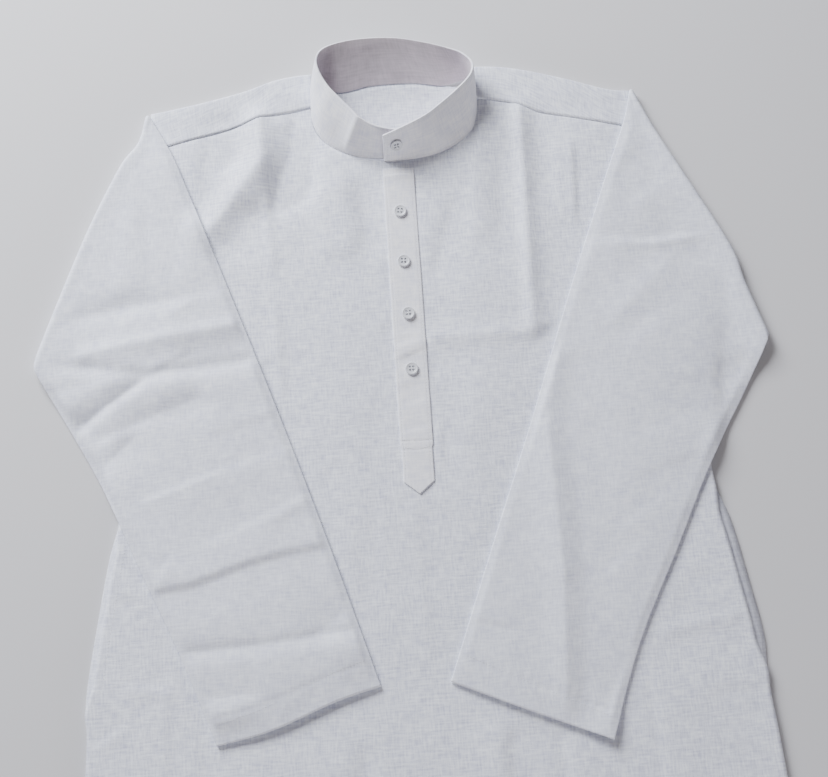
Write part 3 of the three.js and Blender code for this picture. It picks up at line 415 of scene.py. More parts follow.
def front_middle(x, y, top_y):
    """Mid-surface height of the front panel."""
    half = front_half(x, y)
    inside = ease(0, 0.24, 1 - np.abs(x) / half)
    bag = ease(BAG_END_Y - 40, BAG_END_Y - 10, y) * ease(MOUTH_TOP_Y + 60, MOUTH_TOP_Y + 30, y)
    lift = mix(mix(UNDER_LIFT, MID_LIFT, inside), MID_LIFT, bag)
    lift = mix(lift, np.clip(lift, 1.1, 1.6), ease(HEM_Y + 90, HEM_Y + 30, y))
    near_placket = ease(15, 19, np.abs(x)) + (y < PLACKET_END_Y - 8)
    pressed = crease_height(FRONT_CREASES, x, y) * np.clip(near_placket, 0, 1) * bare(x, y)
    pressed = pressed * ease(0, 16, half - np.abs(x))
    loose = FRONT_LOOSE * ease(24, 60, np.abs(x)) * bare(x, y, 60) * ease(0, 0.5, 1 - np.abs(x) / half)
    laid = CLOTH + SEAM + mix(2 * yoke_r(x) - CLOTH - SEAM, lift + loose, ease(0, 40, top_y - y))
    return np.maximum(above(laid + pressed - CLOTH - SEAM), 0) + CLOTH + SEAM + CLOTH / 2


def neck_edge(side, share):
    """Front neck edge: share 0 at the yoke seam, 1 at the middle."""
    row = mix(*NECK_ROWS[side], np.clip(share / NECK_ON_BAND, 0, 1))
    base, _, _, level = band_frame(row / (len(BAND) - 1))
    edge = base[..., :2] + level[..., :2] * (BAND_WALL / 2 - 0.2)
    last = ease(0.86, 1.0, share)[..., None]
    edge[..., 1] = mix(edge[..., 1], FRONT_TOP_Y + 0.8, last[..., 0])
    edge[..., 0] = mix(edge[..., 0], 0, np.clip((share - NECK_ON_BAND) / (1 - NECK_ON_BAND), 0, 1))
    return edge


def band_frame(t):
    """Base, rim, outward normal and level outward direction of the band at t."""

    def at(s):
        row = through(BAND, np.clip(s, 0, 1))
        return row[..., :3], row[..., 3:]

    (base, rim), (b0, r0), (b1, r1) = at(t), at(t - 0.01), at(t + 0.01)
    along = unit((b1 - b0) + (r1 - r0))
    level = np.cross(np.array((0.0, 0, 1)), unit(along * (1, 1, 0)))
    return base, rim, unit(np.cross(rim - base, along)), level


# ---- place of each panel: from shares u, v of the cloth to a point and a pattern point ----
def placed(x, y, z, across=None, down=None):
    """A point and its pattern point, which lies at x, y unless its own place is given."""
    pattern = (x if across is None else across, y if down is None else down)
    return np.stack(np.broadcast_arrays(x, y, z), -1), np.stack(pattern, -1)


def place_back(u, v):
    y = mix(BACK_SEAM_Y - SEAM / 2, HEM_Y, v)
    s = 2 * u - 1
    x = s * half_width(s, y)
    hem = 0.15 * ease(HEM_Y + HEM_FOLD + 1, HEM_Y + HEM_FOLD - 1, y)
    return placed(x, y, 0.5 + hem)


def place_front(u, v):
    s = 2 * u - 1
    share = np.abs(s)
    side = np.where(s < 0, -1, 1)
    out = np.clip((1 - share) / (1 - NECK_SHARE), 0, 1)
    seam_x = mix(ARM_X, NECK_X, out)
    reach = np.clip((NECK_SHARE - share) / NECK_SHARE, 0, 1)
    neck = np.where((s < 0)[..., None], neck_edge(-1, reach), neck_edge(1, reach))
    on_neck = share < NECK_SHARE
    top_x = np.where(on_neck, neck[..., 0], side * seam_x)
    top_y = np.where(on_neck, neck[..., 1], yoke_seam_y(side * seam_x) + YOKE_LAP)
    y = mix(top_y, HEM_Y, v)
    spread = np.maximum(ease(0, 0.3, v), ease(0.8, 1, share))
    x = mix(top_x, s * front_half(s, y), spread)
    z = front_middle(x, y, top_y) - np.where(on_neck, 0, 0.8 * ease(YOKE_LAP + 2, YOKE_LAP, top_y - y))
    z = z + 0.3 * ease(HEM_Y + HEM_FOLD + 1, HEM_Y + HEM_FOLD - 1, y)
    return placed(x, y, z)


def front_height(x, y):
    return front_middle(np.asarray(x, float), np.asarray(y, float), FRONT_TOP_Y)


def place_yoke(u, v):
    x = mix(-ARM_X, ARM_X, u)
    wing = np.abs(x) >= NECK_X - 1
    r = yoke_r(x)
    fold = shoulder_y(x) - r - CLOTH / 2
    s = np.clip(np.abs(x) / NECK_X, 0, 1)
    hole = mix(NECK_BACK_Y - (x / 23) ** 2, fold, ease(0.8, 1, s))
    top = np.where(wing, fold, hole)
    low = np.clip(v / UNDER_SHARE, 0, 1)
    turn = np.clip((v - UNDER_SHARE) / WRAP_SHARE, 0, 1) * math.pi
    high = np.clip((v - OVER_SHARE) / (1 - OVER_SHARE), 0, 1)
    seam = yoke_seam_y(x)
    y = mix(BACK_SEAM_Y, top, low) + r * np.sin(turn)
    y = mix(y, seam, high)
    spread = (half_width(x, y) - NECK_X) / (ARM_X - NECK_X)
    wide = NECK_X + (np.abs(x) - NECK_X) * spread
    tuck = WING_TUCK * bell((np.abs(x) - NECK_X) / 9) * ease(UNDER_SHARE, OVER_SHARE, v)
    place_x = np.where(np.abs(x) > NECK_X - 0.1, np.sign(x) * (wide - tuck), x)
    pressed = crease_height(FRONT_CREASES, place_x, y) * ease(0.05, 0.4, high)
    wing_z = CLOTH + SEAM + above(2 * r - CLOTH - SEAM + pressed)
    z = CLOTH / 2 + mix(r * (1 - np.cos(turn)), wing_z, ease(0, 0.1, high)) + 0.35 * ease(0.7, 1, high)
    length = mix(BACK_SEAM_Y, top, low) + r * turn + high * (top - seam)
    return placed(place_x, y, z, x, length)


def band_dents(t, h):
    row = np.asarray(t) * (len(BAND) - 1)
    depth = np.zeros(np.broadcast(row, h).shape)
    for at, tall, half, reach, deep in BAND_FOLDS:
        depth = depth + deep * bell((row - at) / half) * bell((h - tall) / reach)
    return depth * ease(0, 0.25, h)


def place_collar(u, v):
    base, rim, normal, level = band_frame(u)
    bulge = 1.1 * np.sin(math.pi * v)[..., None]
    aside = mix(level, normal, ease(0, 0.2, v)[..., None])
    point = mix(base, rim, v[..., None]) + normal * bulge * 0.5 + aside * band_dents(u, v)[..., None]
    return point, np.stack([u * BAND_AROUND, v * BAND_TALL], -1)


def placket_half(y):
    return mix(TAB_HALF, PLACKET_HALF, ease(TAB_Y - 2, TAB_Y + 1, y))


def place_placket(u, v):
    s = 2 * u - 1
    point = PLACKET_POINT * np.abs(s) * 0.95
    y = mix(PLACKET_TOP_Y, PLACKET_END_Y + point * ease(0.8, 1, v), v)
    x = s * placket_half(y)
    off = (np.abs(x) - (placket_half(y) - EDGE_STITCH)) / 0.9
    crown = 0.55 * ease(1, 0.9, np.abs(s)) - SEWN_DIP * bell(off)
    for row in (PLACKET_TOP_Y - TOP_STITCH, *CROSS_STITCH_Y):
        crown = crown - SEWN_DIP * bell((y - row) / 1.1)
    crown = crown + crease_height(PLACKET_CREASES, x, y)
    z = front_height(x, y) + SHELL / 2 + PLACKET_WALL / 2 + 0.12 + crown
    return placed(x, y, z)


def place_stand(u, v):
    x = mix(-STAND_HALF, STAND_HALF, u)
    y = mix(STAND_TOP_Y, STAND_END_Y, v)
    return placed(x, y, STAND_Z)


def place_pocket(side):
    def place(u, v):
        y = mix(MOUTH_TOP_Y, BAG_END_Y, v)
        out = half_width(side, y) - mix(1.2, 5, ease(MOUTH_END_Y + 8, MOUTH_END_Y - 12, y))
        edge = front_half(side, y) - 5
        round_ = np.sin(math.pi * np.clip(v, 0.02, 0.98)) ** 0.6
        deep = half_width(side, y) - BAG_DEEP * mix(0.72, 1, round_)
        low = np.clip(u / BAG_LAYER, 0, 1)
        turn = np.clip((u - BAG_LAYER) / (1 - 2 * BAG_LAYER), 0, 1) * math.pi
        high = np.clip((u + BAG_LAYER - 1) / BAG_LAYER, 0, 1)
        x = mix(mix(out, deep, low), edge, high) - BAG_FOLD * np.sin(turn)
        z = BAG_Z + BAG_FOLD * (1 - np.cos(turn))
        return placed(side * x, y, z, side * u * BAG_AROUND)

    return place


CUFF_LIFT = {"right": lambda t: 0.2 * np.sin(5 * t), "left": lambda t: 4.0 * ease(0.75, 1, t)}


# ---- drape of the sleeves over what lies under them ----
class Drape:
    """Height map of the body under the sleeves, as a cloth would bridge it."""

    STEP = 3.0
    LOW = (-370.0, -670.0)
    SIZE = (248, 246)

    def __init__(self):
        xs = self.LOW[0] + self.STEP * np.arange(self.SIZE[0])
        ys = self.LOW[1] + self.STEP * np.arange(self.SIZE[1])
        x, y = np.meshgrid(xs, ys, indexing="ij")
        top = np.where(np.abs(x) > NECK_X - 1, yoke_seam_y(x), -64)
        body = np.where(y > top, 2 * yoke_r(x) + CLOTH, front_middle(x, y, top) + CLOTH / 2)
        outside = (np.abs(x) > half_width(x, y)) | (y > shoulder_y(x))
        body = np.where(outside, 0, body)
        for name in SIDES:
            fold = np.array(SLEEVES[name]["fold"], float)
            edge = np.interp(-y, -fold[:, 1], np.abs(fold[:, 0]))
            under = (y < fold[0, 1]) & (y > fold[-1, 1] - 6) & (np.abs(x) < edge)
            under &= x * SIDES[name] > 0
            body = np.maximum(body, np.where(under, 2 * TUBE_HALF, 0))
        wide = body.copy()
        reach = 4
        for dx in range(-reach, reach + 1):
            for dy in range(-reach, reach + 1):
                if dx * dx + dy * dy <= reach * reach:
                    wide = np.maximum(wide, np.roll(body, (dx, dy), (0, 1)))
        for _ in range(5):
            for axis in (0, 1):
                wide = (np.roll(wide, 1, axis) + 2 * wide + np.roll(wide, -1, axis)) / 4
        self.map = np.maximum(wide, body)

    def at(self, x, y):
        i = np.clip((np.asarray(x) - self.LOW[0]) / self.STEP, 0, self.SIZE[0] - 1.001)
        j = np.clip((np.asarray(y) - self.LOW[1]) / self.STEP, 0, self.SIZE[1] - 1.001)
        a, b = i.astype(int), j.astype(int)
        s, t = i - a, j - b
        m = self.map
        low = mix(m[a, b], m[a + 1, b], s)
        high = mix(m[a, b + 1], m[a + 1, b + 1], s)
        return mix(low, high, t) + SEAM + TUBE_HALF


def sleeve_rows(name, drape):
    """Mid-surface of a folded sleeve: points, normals, air and pattern points, one row for each section."""
    side = SIDES[name]
    edges = SLEEVES[name]
    t = np.linspace(0, 1, SLEEVE_COLUMNS)
    fold = evenly(edges["fold"], t)
    first, last = np.array(edges["fold"][0], float), np.array(edges["fold"][-1], float)
    out = unit(np.array([side * abs(last[1] - first[1]), abs(last[0] - first[0])]))
    radius = np.maximum(mix(*ELBOW_RADIUS, t), (drape.at(*fold.T) - TUBE_HALF) / 2 + 0.15)
    turned = fold - out * (radius + TUBE_HALF)[:, None]
    arm_y = mix(*ARMHOLE_Y, t)
    arm = np.stack([side * (half_width(np.full_like(arm_y, side), arm_y) + 0.5), arm_y], -1)
    rows = []

    def add(xy, z, normal, air, pattern):
        n = np.broadcast_to(normal, (SLEEVE_COLUMNS, 3))
        rows.append((np.column_stack([xy, z]), n, np.broadcast_to(air, SLEEVE_COLUMNS), pattern))

    wrap = math.pi * radius[:, None]
    ground = TUBE_HALF + SHELL * ease(0.06, 0.02, t)
    rounded = np.sqrt(1 - np.clip((t - ELBOW_ROUND[name]) / (1 - ELBOW_ROUND[name]), 0, 1) ** 2)
    for v in np.linspace(0, 1, 7)[:-1]:
        xy = mix(arm, turned, v)
        away = np.sum((turned - xy) * out, -1, keepdims=True)
        slide = (turned - xy) - away * out
        add(xy, ground, (0, 0, 1), 0, turned + out * (wrap + away) - slide)
    for a in np.linspace(0, math.pi, 9):
        xy = turned + out * (radius * rounded)[:, None] * math.sin(a)
        normal = (*(-out * math.sin(a)), math.cos(a))
        add(xy, ground + radius * (1 - math.cos(a)), normal, 0, turned + out * wrap * (1 - a / math.pi))
    cuff = evenly(edges["cuff"], t)
    straight = mix(cuff[0], cuff[-1], t[:, None])
    chord = mix(turned[0], turned[-1], t[:, None])
    middle = np.sin(math.pi * t)
    lengths = [gone_along(evenly(edges[k], np.linspace(0, 1, 60)))[-1] for k in ("inner", "outer")]
    for v in np.linspace(0, 1, SLEEVE_ROWS + 1)[1:]:
        near = (1 - np.clip(v / 0.2, 0, 1)) ** 2
        a = evenly(edges["inner"], v) + (turned[0] - evenly(edges["inner"], 0)) * near
        b = evenly(edges["outer"], v) + (turned[-1] - evenly(edges["outer"], 0)) * near
        xy = mix(a, b, t[:, None]) + (turned - chord) * (1 - np.clip(v / 0.4, 0, 1)) ** 2
        xy = xy + (cuff - straight) * ease(0.8, 1, v)
        gone = np.hypot(*(xy - turned).T)
        rest = drape.at(*xy.T)
        crumple = above(CREASE_ROOM[name] + crease_height(SLEEVE_CREASES[name], *xy.T)) + 0.05
        air = SLEEVE_AIR * ease(0, 0.1, v) * ease(1.02, 0.95, v)
        shown = ease(0, 0.04, v) * ease(0, 0.13, middle) * ease(1.02, 0.93, v)
        laid = rest + air + crumple * shown
        z = mix(laid, np.maximum(rest, TUBE_HALF + 2 * radius), bell(gone / 26))
        from_hem = (1 - v) * mix(lengths[0], lengths[1], t) - CUFF_HEM
        pucker = 0.13 * np.sin(t * CUFF_PUCKERS * math.pi) * bell(from_hem / 7)
        sewn = (pucker - 0.4 * bell(from_hem / 1.6)) * ease(0, 0.2, middle)
        z = z + CUFF_LIFT[name](t) * ease(0.9, 1, v) + sewn
        add(xy, z, (0, 0, -1), TUBE_PUFF * middle * ease(0.05, 0.25, v), xy)
    return [np.array(part) for part in zip(*rows)]


SLEEVE_TOPS = {}  # cuff rows of each sleeve, for the sewing


def cuff_rows(points):
    """Two rows of the layer seen, the second along the cuff's stitches."""
    top = points[:, :SLEEVE_COLUMNS]
    middle = top[::-1, SLEEVE_COLUMNS // 2]
    row = len(middle) - int(np.searchsorted(gone_along(middle), CUFF_HEM))
    return top[[row - 1, row]]


def sleeve_rings(name, drape):
    """Outer face of the sleeve as rings: the layer seen, the under edge, the hidden layer, the upper edge."""
    points, normals, air, pattern = sleeve_rows(name, drape)
    across = unit(points[:, -1] - points[:, 0])
    t = np.linspace(0, 1, points.shape[1])[None, :, None]
    inset = across[:, None] * TUBE_HALF * (1 - 2 * t)
    seen = points - normals * (TUBE_HALF + air)[..., None] + inset
    hidden = points + normals * TUBE_HALF + inset
    rings, patterns = [seen], [pattern]
    turn = np.radians([-60, -30, 0, 30, 60])
    for end, sign in ((-1, 1), (0, -1)):
        mid = points[:, end, None] - across[:, None] * TUBE_HALF * sign
        slide = sign * across[:, None] * (TUBE_HALF * np.cos(turn))[None, :, None]
        lift = normals[:, end, None] * (TUBE_HALF * np.sin(turn))[None, :, None]
        rings.append(mid + slide + sign * lift)
        patterns.append(np.repeat(pattern[:, end, None], len(turn), 1))
        if end == -1:
            rings.append(hidden[:, ::-1])
            patterns.append(pattern[:, ::-1])
    return np.concatenate(rings, 1), np.concatenate(patterns, 1)


# ---- making meshes ----
def shift():
    """From garment millimetres to the row frame: the back panel's hem gives it."""
    low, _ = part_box("back")
    return np.array([low[0] / MM + OUTLINE[-1][1], low[1] / MM - HEM_Y, 0.0])


SHIFT = shift()


def new_mesh(name, bm):
    mesh = bpy.data.meshes.new(name)
    bm.to_mesh(mesh)
    bm.free()
    return mesh


def linked(name, data):
    piece = bpy.data.objects.new(name, data)
    bpy.context.scene.collection.objects.link(piece)
    return piece


def finish_piece(name, mesh, surface):
    mesh.shade_smooth()
    piece = linked(name, mesh)
    mesh.materials.append(surface)
    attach(piece, "root")
    return piece


def cloth_piece(name, node, grid, surface, wall=SHELL, offset=0.0, keep=None, closed=False):
    """A cloth of points and pattern points, with its wall, that stands for a node."""
    piece = finish_piece(name, new_mesh(name, cloth_grid(*grid, keep, closed)), material(surface))
    solid = piece.modifiers.new("wall", "SOLIDIFY")
    solid.thickness = wall * MM
    solid.offset = offset
    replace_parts(piece, node)
    return piece


def cloth_grid(points, pattern, keep, closed):
    """A grid of points as a bmesh, with its pattern points in a UV map named weave."""
    rows, cols = points.shape[:2]
    bm = bmesh.new()
    bmesh.ops.create_grid(bm, x_segments=cols - 1, y_segments=rows - 1, size=0.5)
    uv = bm.loops.layers.uv.new("weave")
    place = {}
    for vert in bm.verts:
        place[vert] = (round((vert.co.y + 0.5) * (rows - 1)), round((vert.co.x + 0.5) * (cols - 1)))
    real = (points + SHIFT) * MM
    flat = pattern * MM
    for face in bm.faces:
        for loop in face.loops:
            loop[uv].uv = flat[place[loop.vert]]
    for vert, at in place.items():
        vert.co = real[at]
    if keep is not None:
        gone = [f for f in bm.faces if not keep(*np.mean([place[v] for v in f.verts], 0))]
        bmesh.ops.delete(bm, geom=gone, context="FACES")
    if closed:
        bmesh.ops.remove_doubles(bm, verts=bm.verts, dist=1e-6)
        bmesh.ops.recalc_face_normals(bm, faces=bm.faces)
        bm.normal_update()
        if max(bm.verts, key=lambda vert: vert.co.z).normal.z < 0:
            bmesh.ops.reverse_faces(bm, faces=bm.faces)
    return bm


def panel(place, across, down):
    return place(*np.meshgrid(np.linspace(0, 1, across + 1), np.linspace(0, 1, down + 1)))


def joined(*spans):
    """Shares at an even pace within each span of start, end and number of cells."""
    shares = [np.linspace(start, end, cells + 1) for start, end, cells in spans]
    return np.unique(np.concatenate(shares).round(6))


# ---- sewing ----

def run_along(place, us, vs, lift, pitch=PITCH, upward=True):
    """Centres, directions and normals of stitches on a placed cloth.

    us and vs are its shares at the first and last stitch, or one share for both.
    """
    us, vs = (np.linspace(*np.broadcast_to(ends, 2), 600) for ends in (us, vs))
    path = place(us, vs)[0]
    gone = gone_along(path)
    at = np.arange(pitch / 2, gone[-1], pitch)
    u, v = np.interp(at, gone, us), np.interp(at, gone, vs)
    centre = place(u, v)[0]
    ahead = np.stack([np.interp(at + 0.4, gone, k) - np.interp(at - 0.4, gone, k) for k in path.T], -1)
    du = place(np.clip(u + 1e-3, 0, 1), v)[0] - place(np.clip(u - 1e-3, 0, 1), v)[0]
    dv = place(u, np.clip(v + 1e-3, 0, 1))[0] - place(u, np.clip(v - 1e-3, 0, 1))[0]
    normal = unit(np.cross(du, dv))
    if upward:
        normal *= np.where(normal[:, 2:] < 0, -1, 1)
    return centre + normal * lift, unit(ahead), normal


def grid_place(rows):
    """Place on a strip of two rows of points, far row first."""

    def place(u, v):
        at = np.clip(u, 0, 1) * (rows.shape[1] - 1)
        i = np.minimum(at.astype(int), rows.shape[1] - 2)
        near, far = (mix(row[i], row[i + 1], (at - i)[..., None]) for row in rows[::-1])
        return mix(far, near, v[..., None]), None

    return place


def stitches(name, runs, length=STITCH, wide=0.42, tall=0.3):
    """Many small stitches as one joined mesh."""
    seed = bmesh.new()
    bmesh.ops.create_icosphere(seed, subdivisions=1, radius=1.0)
    seed.verts.ensure_lookup_table()
    shape = np.array([v.co[:] for v in seed.verts])
    faces = np.array([[v.index for v in f.verts] for f in seed.faces])
    seed.free()
    shape = shape * (length / 2, wide / 2, tall / 2)
    centre, ahead, normal = (np.concatenate([run[k] for run in runs]) for k in range(3))
    axes = np.stack([ahead, unit(np.cross(normal, ahead)), normal], 1)
    points = centre[:, None] + shape @ axes
    points = (points.reshape(-1, 3) + SHIFT) * MM
    index = (faces[None] + len(shape) * np.arange(len(centre))[:, None, None]).reshape(-1, 3)
    mesh = bpy.data.meshes.new(name)
    mesh.from_pydata(points.tolist(), [], index.tolist())
    finish_piece(name, mesh, material("thread"))


# ---- materials ----
def group(name, inputs, outputs):
    """A node group with its sockets, ready for its nodes."""
    tree = bpy.data.node_groups.new(name, "ShaderNodeTree")
    for label, kind, value in inputs:
        socket = tree.interface.new_socket(label, in_out="INPUT", socket_type=kind)
        if value is not None:
            socket.default_value = value
    for label, kind in outputs:
        tree.interface.new_socket(label, in_out="OUTPUT", socket_type=kind)
    return tree, tree.nodes.new("NodeGroupInput"), tree.nodes.new("NodeGroupOutput")


def maths(tree, operation, *values):
    node = tree.nodes.new("ShaderNodeMath")
    node.operation = operation
    for socket, value in zip(node.inputs, values):
        if isinstance(value, (int, float)):
            socket.default_value = value
        else:
            tree.links.new(value, socket)
    return node.outputs[0]


def noise(tree, vector, scale, detail, stretch=None):
    if stretch:
        mapping = tree.nodes.new("ShaderNodeMapping")
        mapping.inputs["Scale"].default_value = stretch
        tree.links.new(vector, mapping.inputs["Vector"])
        vector = mapping.outputs["Vector"]
    node = tree.nodes.new("ShaderNodeTexNoise")
    set_inputs(node, {"Scale": scale, "Detail": detail})
    tree.links.new(vector, node.inputs["Vector"])
    return node.outputs["Factor" if "Factor" in node.outputs else "Fac"]


def swing(tree, *args):
    """Such noise about zero."""
    return maths(tree, "SUBTRACT", noise(tree, *args), 0.5)


def slub_weave():
    """Plain weave with thick and thin threads, from a pattern point in metres: height in threads, and tone."""
    tree, given, out = group(
        "slub_weave",
        [("Pattern", "NodeSocketVector", None), ("Slub", "NodeSocketFloat", 1.0)],
        [("Height", "NodeSocketFloat"), ("Tone", "NodeSocketFloat")],
    )
    pattern = given.outputs["Pattern"]
    thick = [swing(tree, pattern, 1.0, 2.0, stretch) for stretch in ((640, 85, 1), (75, 560, 1))]
    thin = [swing(tree, pattern, 1.0, 1.0, stretch) for stretch in ((1500, 300, 1), (300, 1500, 1))]
    cloud = swing(tree, pattern, 90.0, 3.0)
    streak = maths(tree, "MULTIPLY", maths(tree, "ADD", *thick), given.outputs["Slub"])
    height = maths(tree, "MULTIPLY_ADD", maths(tree, "ADD", *thin), 0.6, streak)
    tree.links.new(height, out.inputs["Height"])
    tree.links.new(maths(tree, "MULTIPLY_ADD", cloud, 0.4, streak), out.inputs["Tone"])
    return tree


def rumple():
    """Soft unevenness of laid cotton, from a point in metres."""
    tree, given, out = group("rumple", [("Point", "NodeSocketVector", None)], [("Height", "NodeSocketFloat")])
    broad = swing(tree, given.outputs["Point"], 16.0, 1.0)
    small = swing(tree, given.outputs["Point"], 48.0, 2.0)
    tree.links.new(maths(tree, "MULTIPLY_ADD", small, 0.32, broad), out.inputs["Height"])
    return tree


GROUPS = {}


def use(tree, make):
    """A node of a group that is made once."""
    if make not in GROUPS:
        GROUPS[make] = make()
    node = tree.nodes.new("ShaderNodeGroup")
    node.node_tree = GROUPS[make]
    return node


def set_inputs(node, values):
    for name, value in values.items():
        node.inputs[name].default_value = value


def new_material(name, values):
    """A material with its node tree, its shader and the point on its object."""
    made = bpy.data.materials.new(name)
    made.use_nodes = True
    tree = made.node_tree
    shader = tree.nodes["Principled BSDF"]
    set_inputs(shader, values)
    return made, tree, shader, tree.nodes.new("ShaderNodeTexCoord").outputs["Object"]


def paint(tree, shader, factor, dark, light):
    """Base colour between two."""
    ramp = tree.nodes.new("ShaderNodeMix")
    ramp.data_type = "RGBA"
    set_inputs(ramp, {"A": (*dark, 1), "B": (*light, 1)})
    tree.links.new(factor, ramp.inputs["Factor"])
    tree.links.new(ramp.outputs["Result"], shader.inputs["Base Color"])


def bump(tree, height, distance, into):
    """Relief in mm, into a normal."""
    node = tree.nodes.new("ShaderNodeBump")
    node.inputs["Distance"].default_value = distance * MM
    tree.links.new(height, node.inputs["Height"])
    tree.links.new(node.outputs["Normal"], into.inputs["Normal"])
    return node


def shaded(color, shade):
    return [min(c * shade, 1) for c in color]


def cotton(name, look, slub, soft, shade=(1, 1, 1)):
    """Slub cotton: slub is the strength of its thick threads, soft that of its unevenness, shade a tint of its
    colour, which for the band's inner face is painted shade and for the band's outer face and the plackets
    painted light.
    """
    made, tree, shader, point = new_material(name, {
        "Roughness": 0.88, "Specular IOR Level": 0.28, "Sheen Weight": look.sheen, "Sheen Roughness": 0.45,
    })
    uv = tree.nodes.new("ShaderNodeUVMap")
    uv.uv_map = "weave"
    weave = use(tree, slub_weave)
    weave.inputs["Slub"].default_value = slub
    tree.links.new(uv.outputs["UV"], weave.inputs["Pattern"])
    uneven = use(tree, rumple)
    tree.links.new(point, uneven.inputs["Point"])
    base = [c * k for c, k in zip(look.color, shade)]
    tone = maths(tree, "MULTIPLY_ADD", weave.outputs["Tone"], look.slub_tone, 0.58)
    paint(tree, shader, tone, shaded(base, 0.72), shaded(base, 1.2))
    threads = bump(tree, weave.outputs["Height"], look.thread, shader)
    bump(tree, uneven.outputs["Height"], soft * look.rumple, threads)
    return made


def thread_material(look):
    made, tree, shader, point = new_material("sewing_thread", {"Roughness": 0.6, "Sheen Weight": 0.2})
    paint(tree, shader, noise(tree, point, 2600.0, 1.0), shaded(look.thread_color, 0.88), look.thread_color)
    return made


def button_material(look):
    made, tree, shader, point = new_material("button_resin", {"Roughness": 0.32})
    cloud = noise(tree, point, 260.0, 3.0)
    paint(tree, shader, cloud, shaded(look.button_color, 0.86), look.button_color)
    bump(tree, cloud, 0.04, shader)
    return made


MATERIALS = {}


def material(name):
    """Materials are made once, from the cloth's settings."""
    if name not in MATERIALS:
        look = bpy.context.scene.kurta_cloth
        makers = {
            "cotton_body": lambda: cotton("cotton_body", look, 1.0, 1.0),
            "cotton_sleeve": lambda: cotton("cotton_sleeve", look, 0.65, 0.9),
            # The band's outer face and the plackets: cloth painted lighter than the body, a painted light for
            # the collar's front, which the key light doesn't reach.
            "cotton_band": lambda: cotton("cotton_band", look, 0.5, 0.3, (1.12, 1.12, 1.1)),
            # The band's inner face: cloth painted darker and warmer, a painted shade for the band's shaded
            # inside.
            "cotton_facing": lambda: cotton("cotton_facing", look, 0.5, 0.3, (0.9, 0.79, 0.68)),
            "cotton_inside": lambda: cotton("cotton_inside", look, 0.8, 0.6, (0.97, 0.97, 0.96)),
            "thread": lambda: thread_material(look),
            "button": lambda: button_material(look),
        }
        MATERIALS[name] = makers[name]()
    return MATERIALS[name]


# ---- settings ----
class KurtaCloth(bpy.types.PropertyGroup):
    """Colours and surface of the cloth."""

    color: FloatVectorProperty(
        name="Cloth", description="Colour of the cotton",
        subtype="COLOR", size=3, min=0, max=1, default=(0.755, 0.785, 0.97))
    thread_color: FloatVectorProperty(
        name="Thread", description="Colour of the sewing thread",
        subtype="COLOR", size=3, min=0, max=1, default=(0.80, 0.82, 0.86))
    button_color: FloatVectorProperty(
        name="Buttons", description="Colour of the buttons",
        subtype="COLOR", size=3, min=0, max=1, default=(0.70, 0.72, 0.76))
    sheen: FloatProperty(
        name="Nap", description="Soft sheen of the cotton's nap", default=0.12, min=0, max=1)
    thread: FloatProperty(
        name="Thread relief", description="Relief of the thick threads, in mm", default=0.17, min=0, max=1)
    slub_tone: FloatProperty(
        name="Slub contrast", description="How far thick threads differ in tone", default=1.5, min=0, max=4)
    rumple: FloatProperty(
        name="Unevenness", description="Height of the cloth's soft unevenness, in mm",
        default=1.9, min=0, max=6)


class KurtaStage(bpy.types.PropertyGroup):
    """Camera, lights and floor."""

    target: FloatVectorProperty(
        name="Target", description="Point that the camera looks at, in garment mm",
        size=3, default=(1.0, -286.1, 0.0))
    azimuth: FloatProperty(
        name="Azimuth", description="Turn of the camera round the garment, in degrees", default=-5.38)
    elevation: FloatProperty(
        name="Elevation", description="Height of the camera's line above the floor, in degrees", default=75)
    roll: FloatProperty(name="Roll", description="Roll of the camera, in degrees", default=1.67)
    distance: FloatProperty(
        name="Distance", description="From the target to the camera", default=1.1423, unit="LENGTH")
    lens: FloatProperty(name="Lens", description="Focal length in mm on a 36 mm sensor", default=54.78)
    key: FloatProperty(name="Key light", description="Power of the large light, in watts", default=132, min=0)
    fill: FloatProperty(name="Fill light", description="Power of the side light, in watts", default=19, min=0)
    sky: FloatProperty(name="Sky", description="Strength of the even light all round", default=0.24, min=0)
    floor_color: FloatVectorProperty(
        name="Floor", description="Colour of the floor",
        subtype="COLOR", size=3, min=0, max=1, default=(0.62, 0.62, 0.63))


class KURTA_OT_back(bpy.types.Operator):
    """Back panel, flat on the floor"""

    bl_idname = "kurta.back"
    bl_label = "Back panel"

    def execute(self, context):
        piece = cloth_piece("back_panel", "back", panel(place_back, 60, 90), "cotton_body")
        return {"FINISHED"}


class KURTA_OT_front(bpy.types.Operator):
    """Front panel, with its pressed creases and rumples"""

    bl_idname = "kurta.front"
    bl_label = "Front panel"

    def execute(self, context):
        piece = cloth_piece("front_panel", "front", panel(place_front, 176, 262), "cotton_body")
        return {"FINISHED"}


class KURTA_OT_yoke(bpy.types.Operator):
    """Yoke, folded forward over both shoulders"""

    bl_idname = "kurta.yoke"
    bl_label = "Yoke"

    def execute(self, context):
        left, right = NECK_COLUMNS
        under, over = UNDER_SHARE, OVER_SHARE
        columns = joined((0, left, WING_CELLS), (left, right, HOLE_CELLS), (right, 1, WING_CELLS))
        rows = joined((0, under, UNDER_CELLS), (under, over, WRAP_CELLS), (over, 1, OVER_CELLS))

        def keep(i, j):
            return i < UNDER_CELLS or not WING_CELLS <= j <= WING_CELLS + HOLE_CELLS

        grid = place_yoke(*np.meshgrid(columns, rows))
        piece = cloth_piece("yoke_piece", "yoke", grid, "cotton_body", keep=keep)
        return {"FINISHED"}


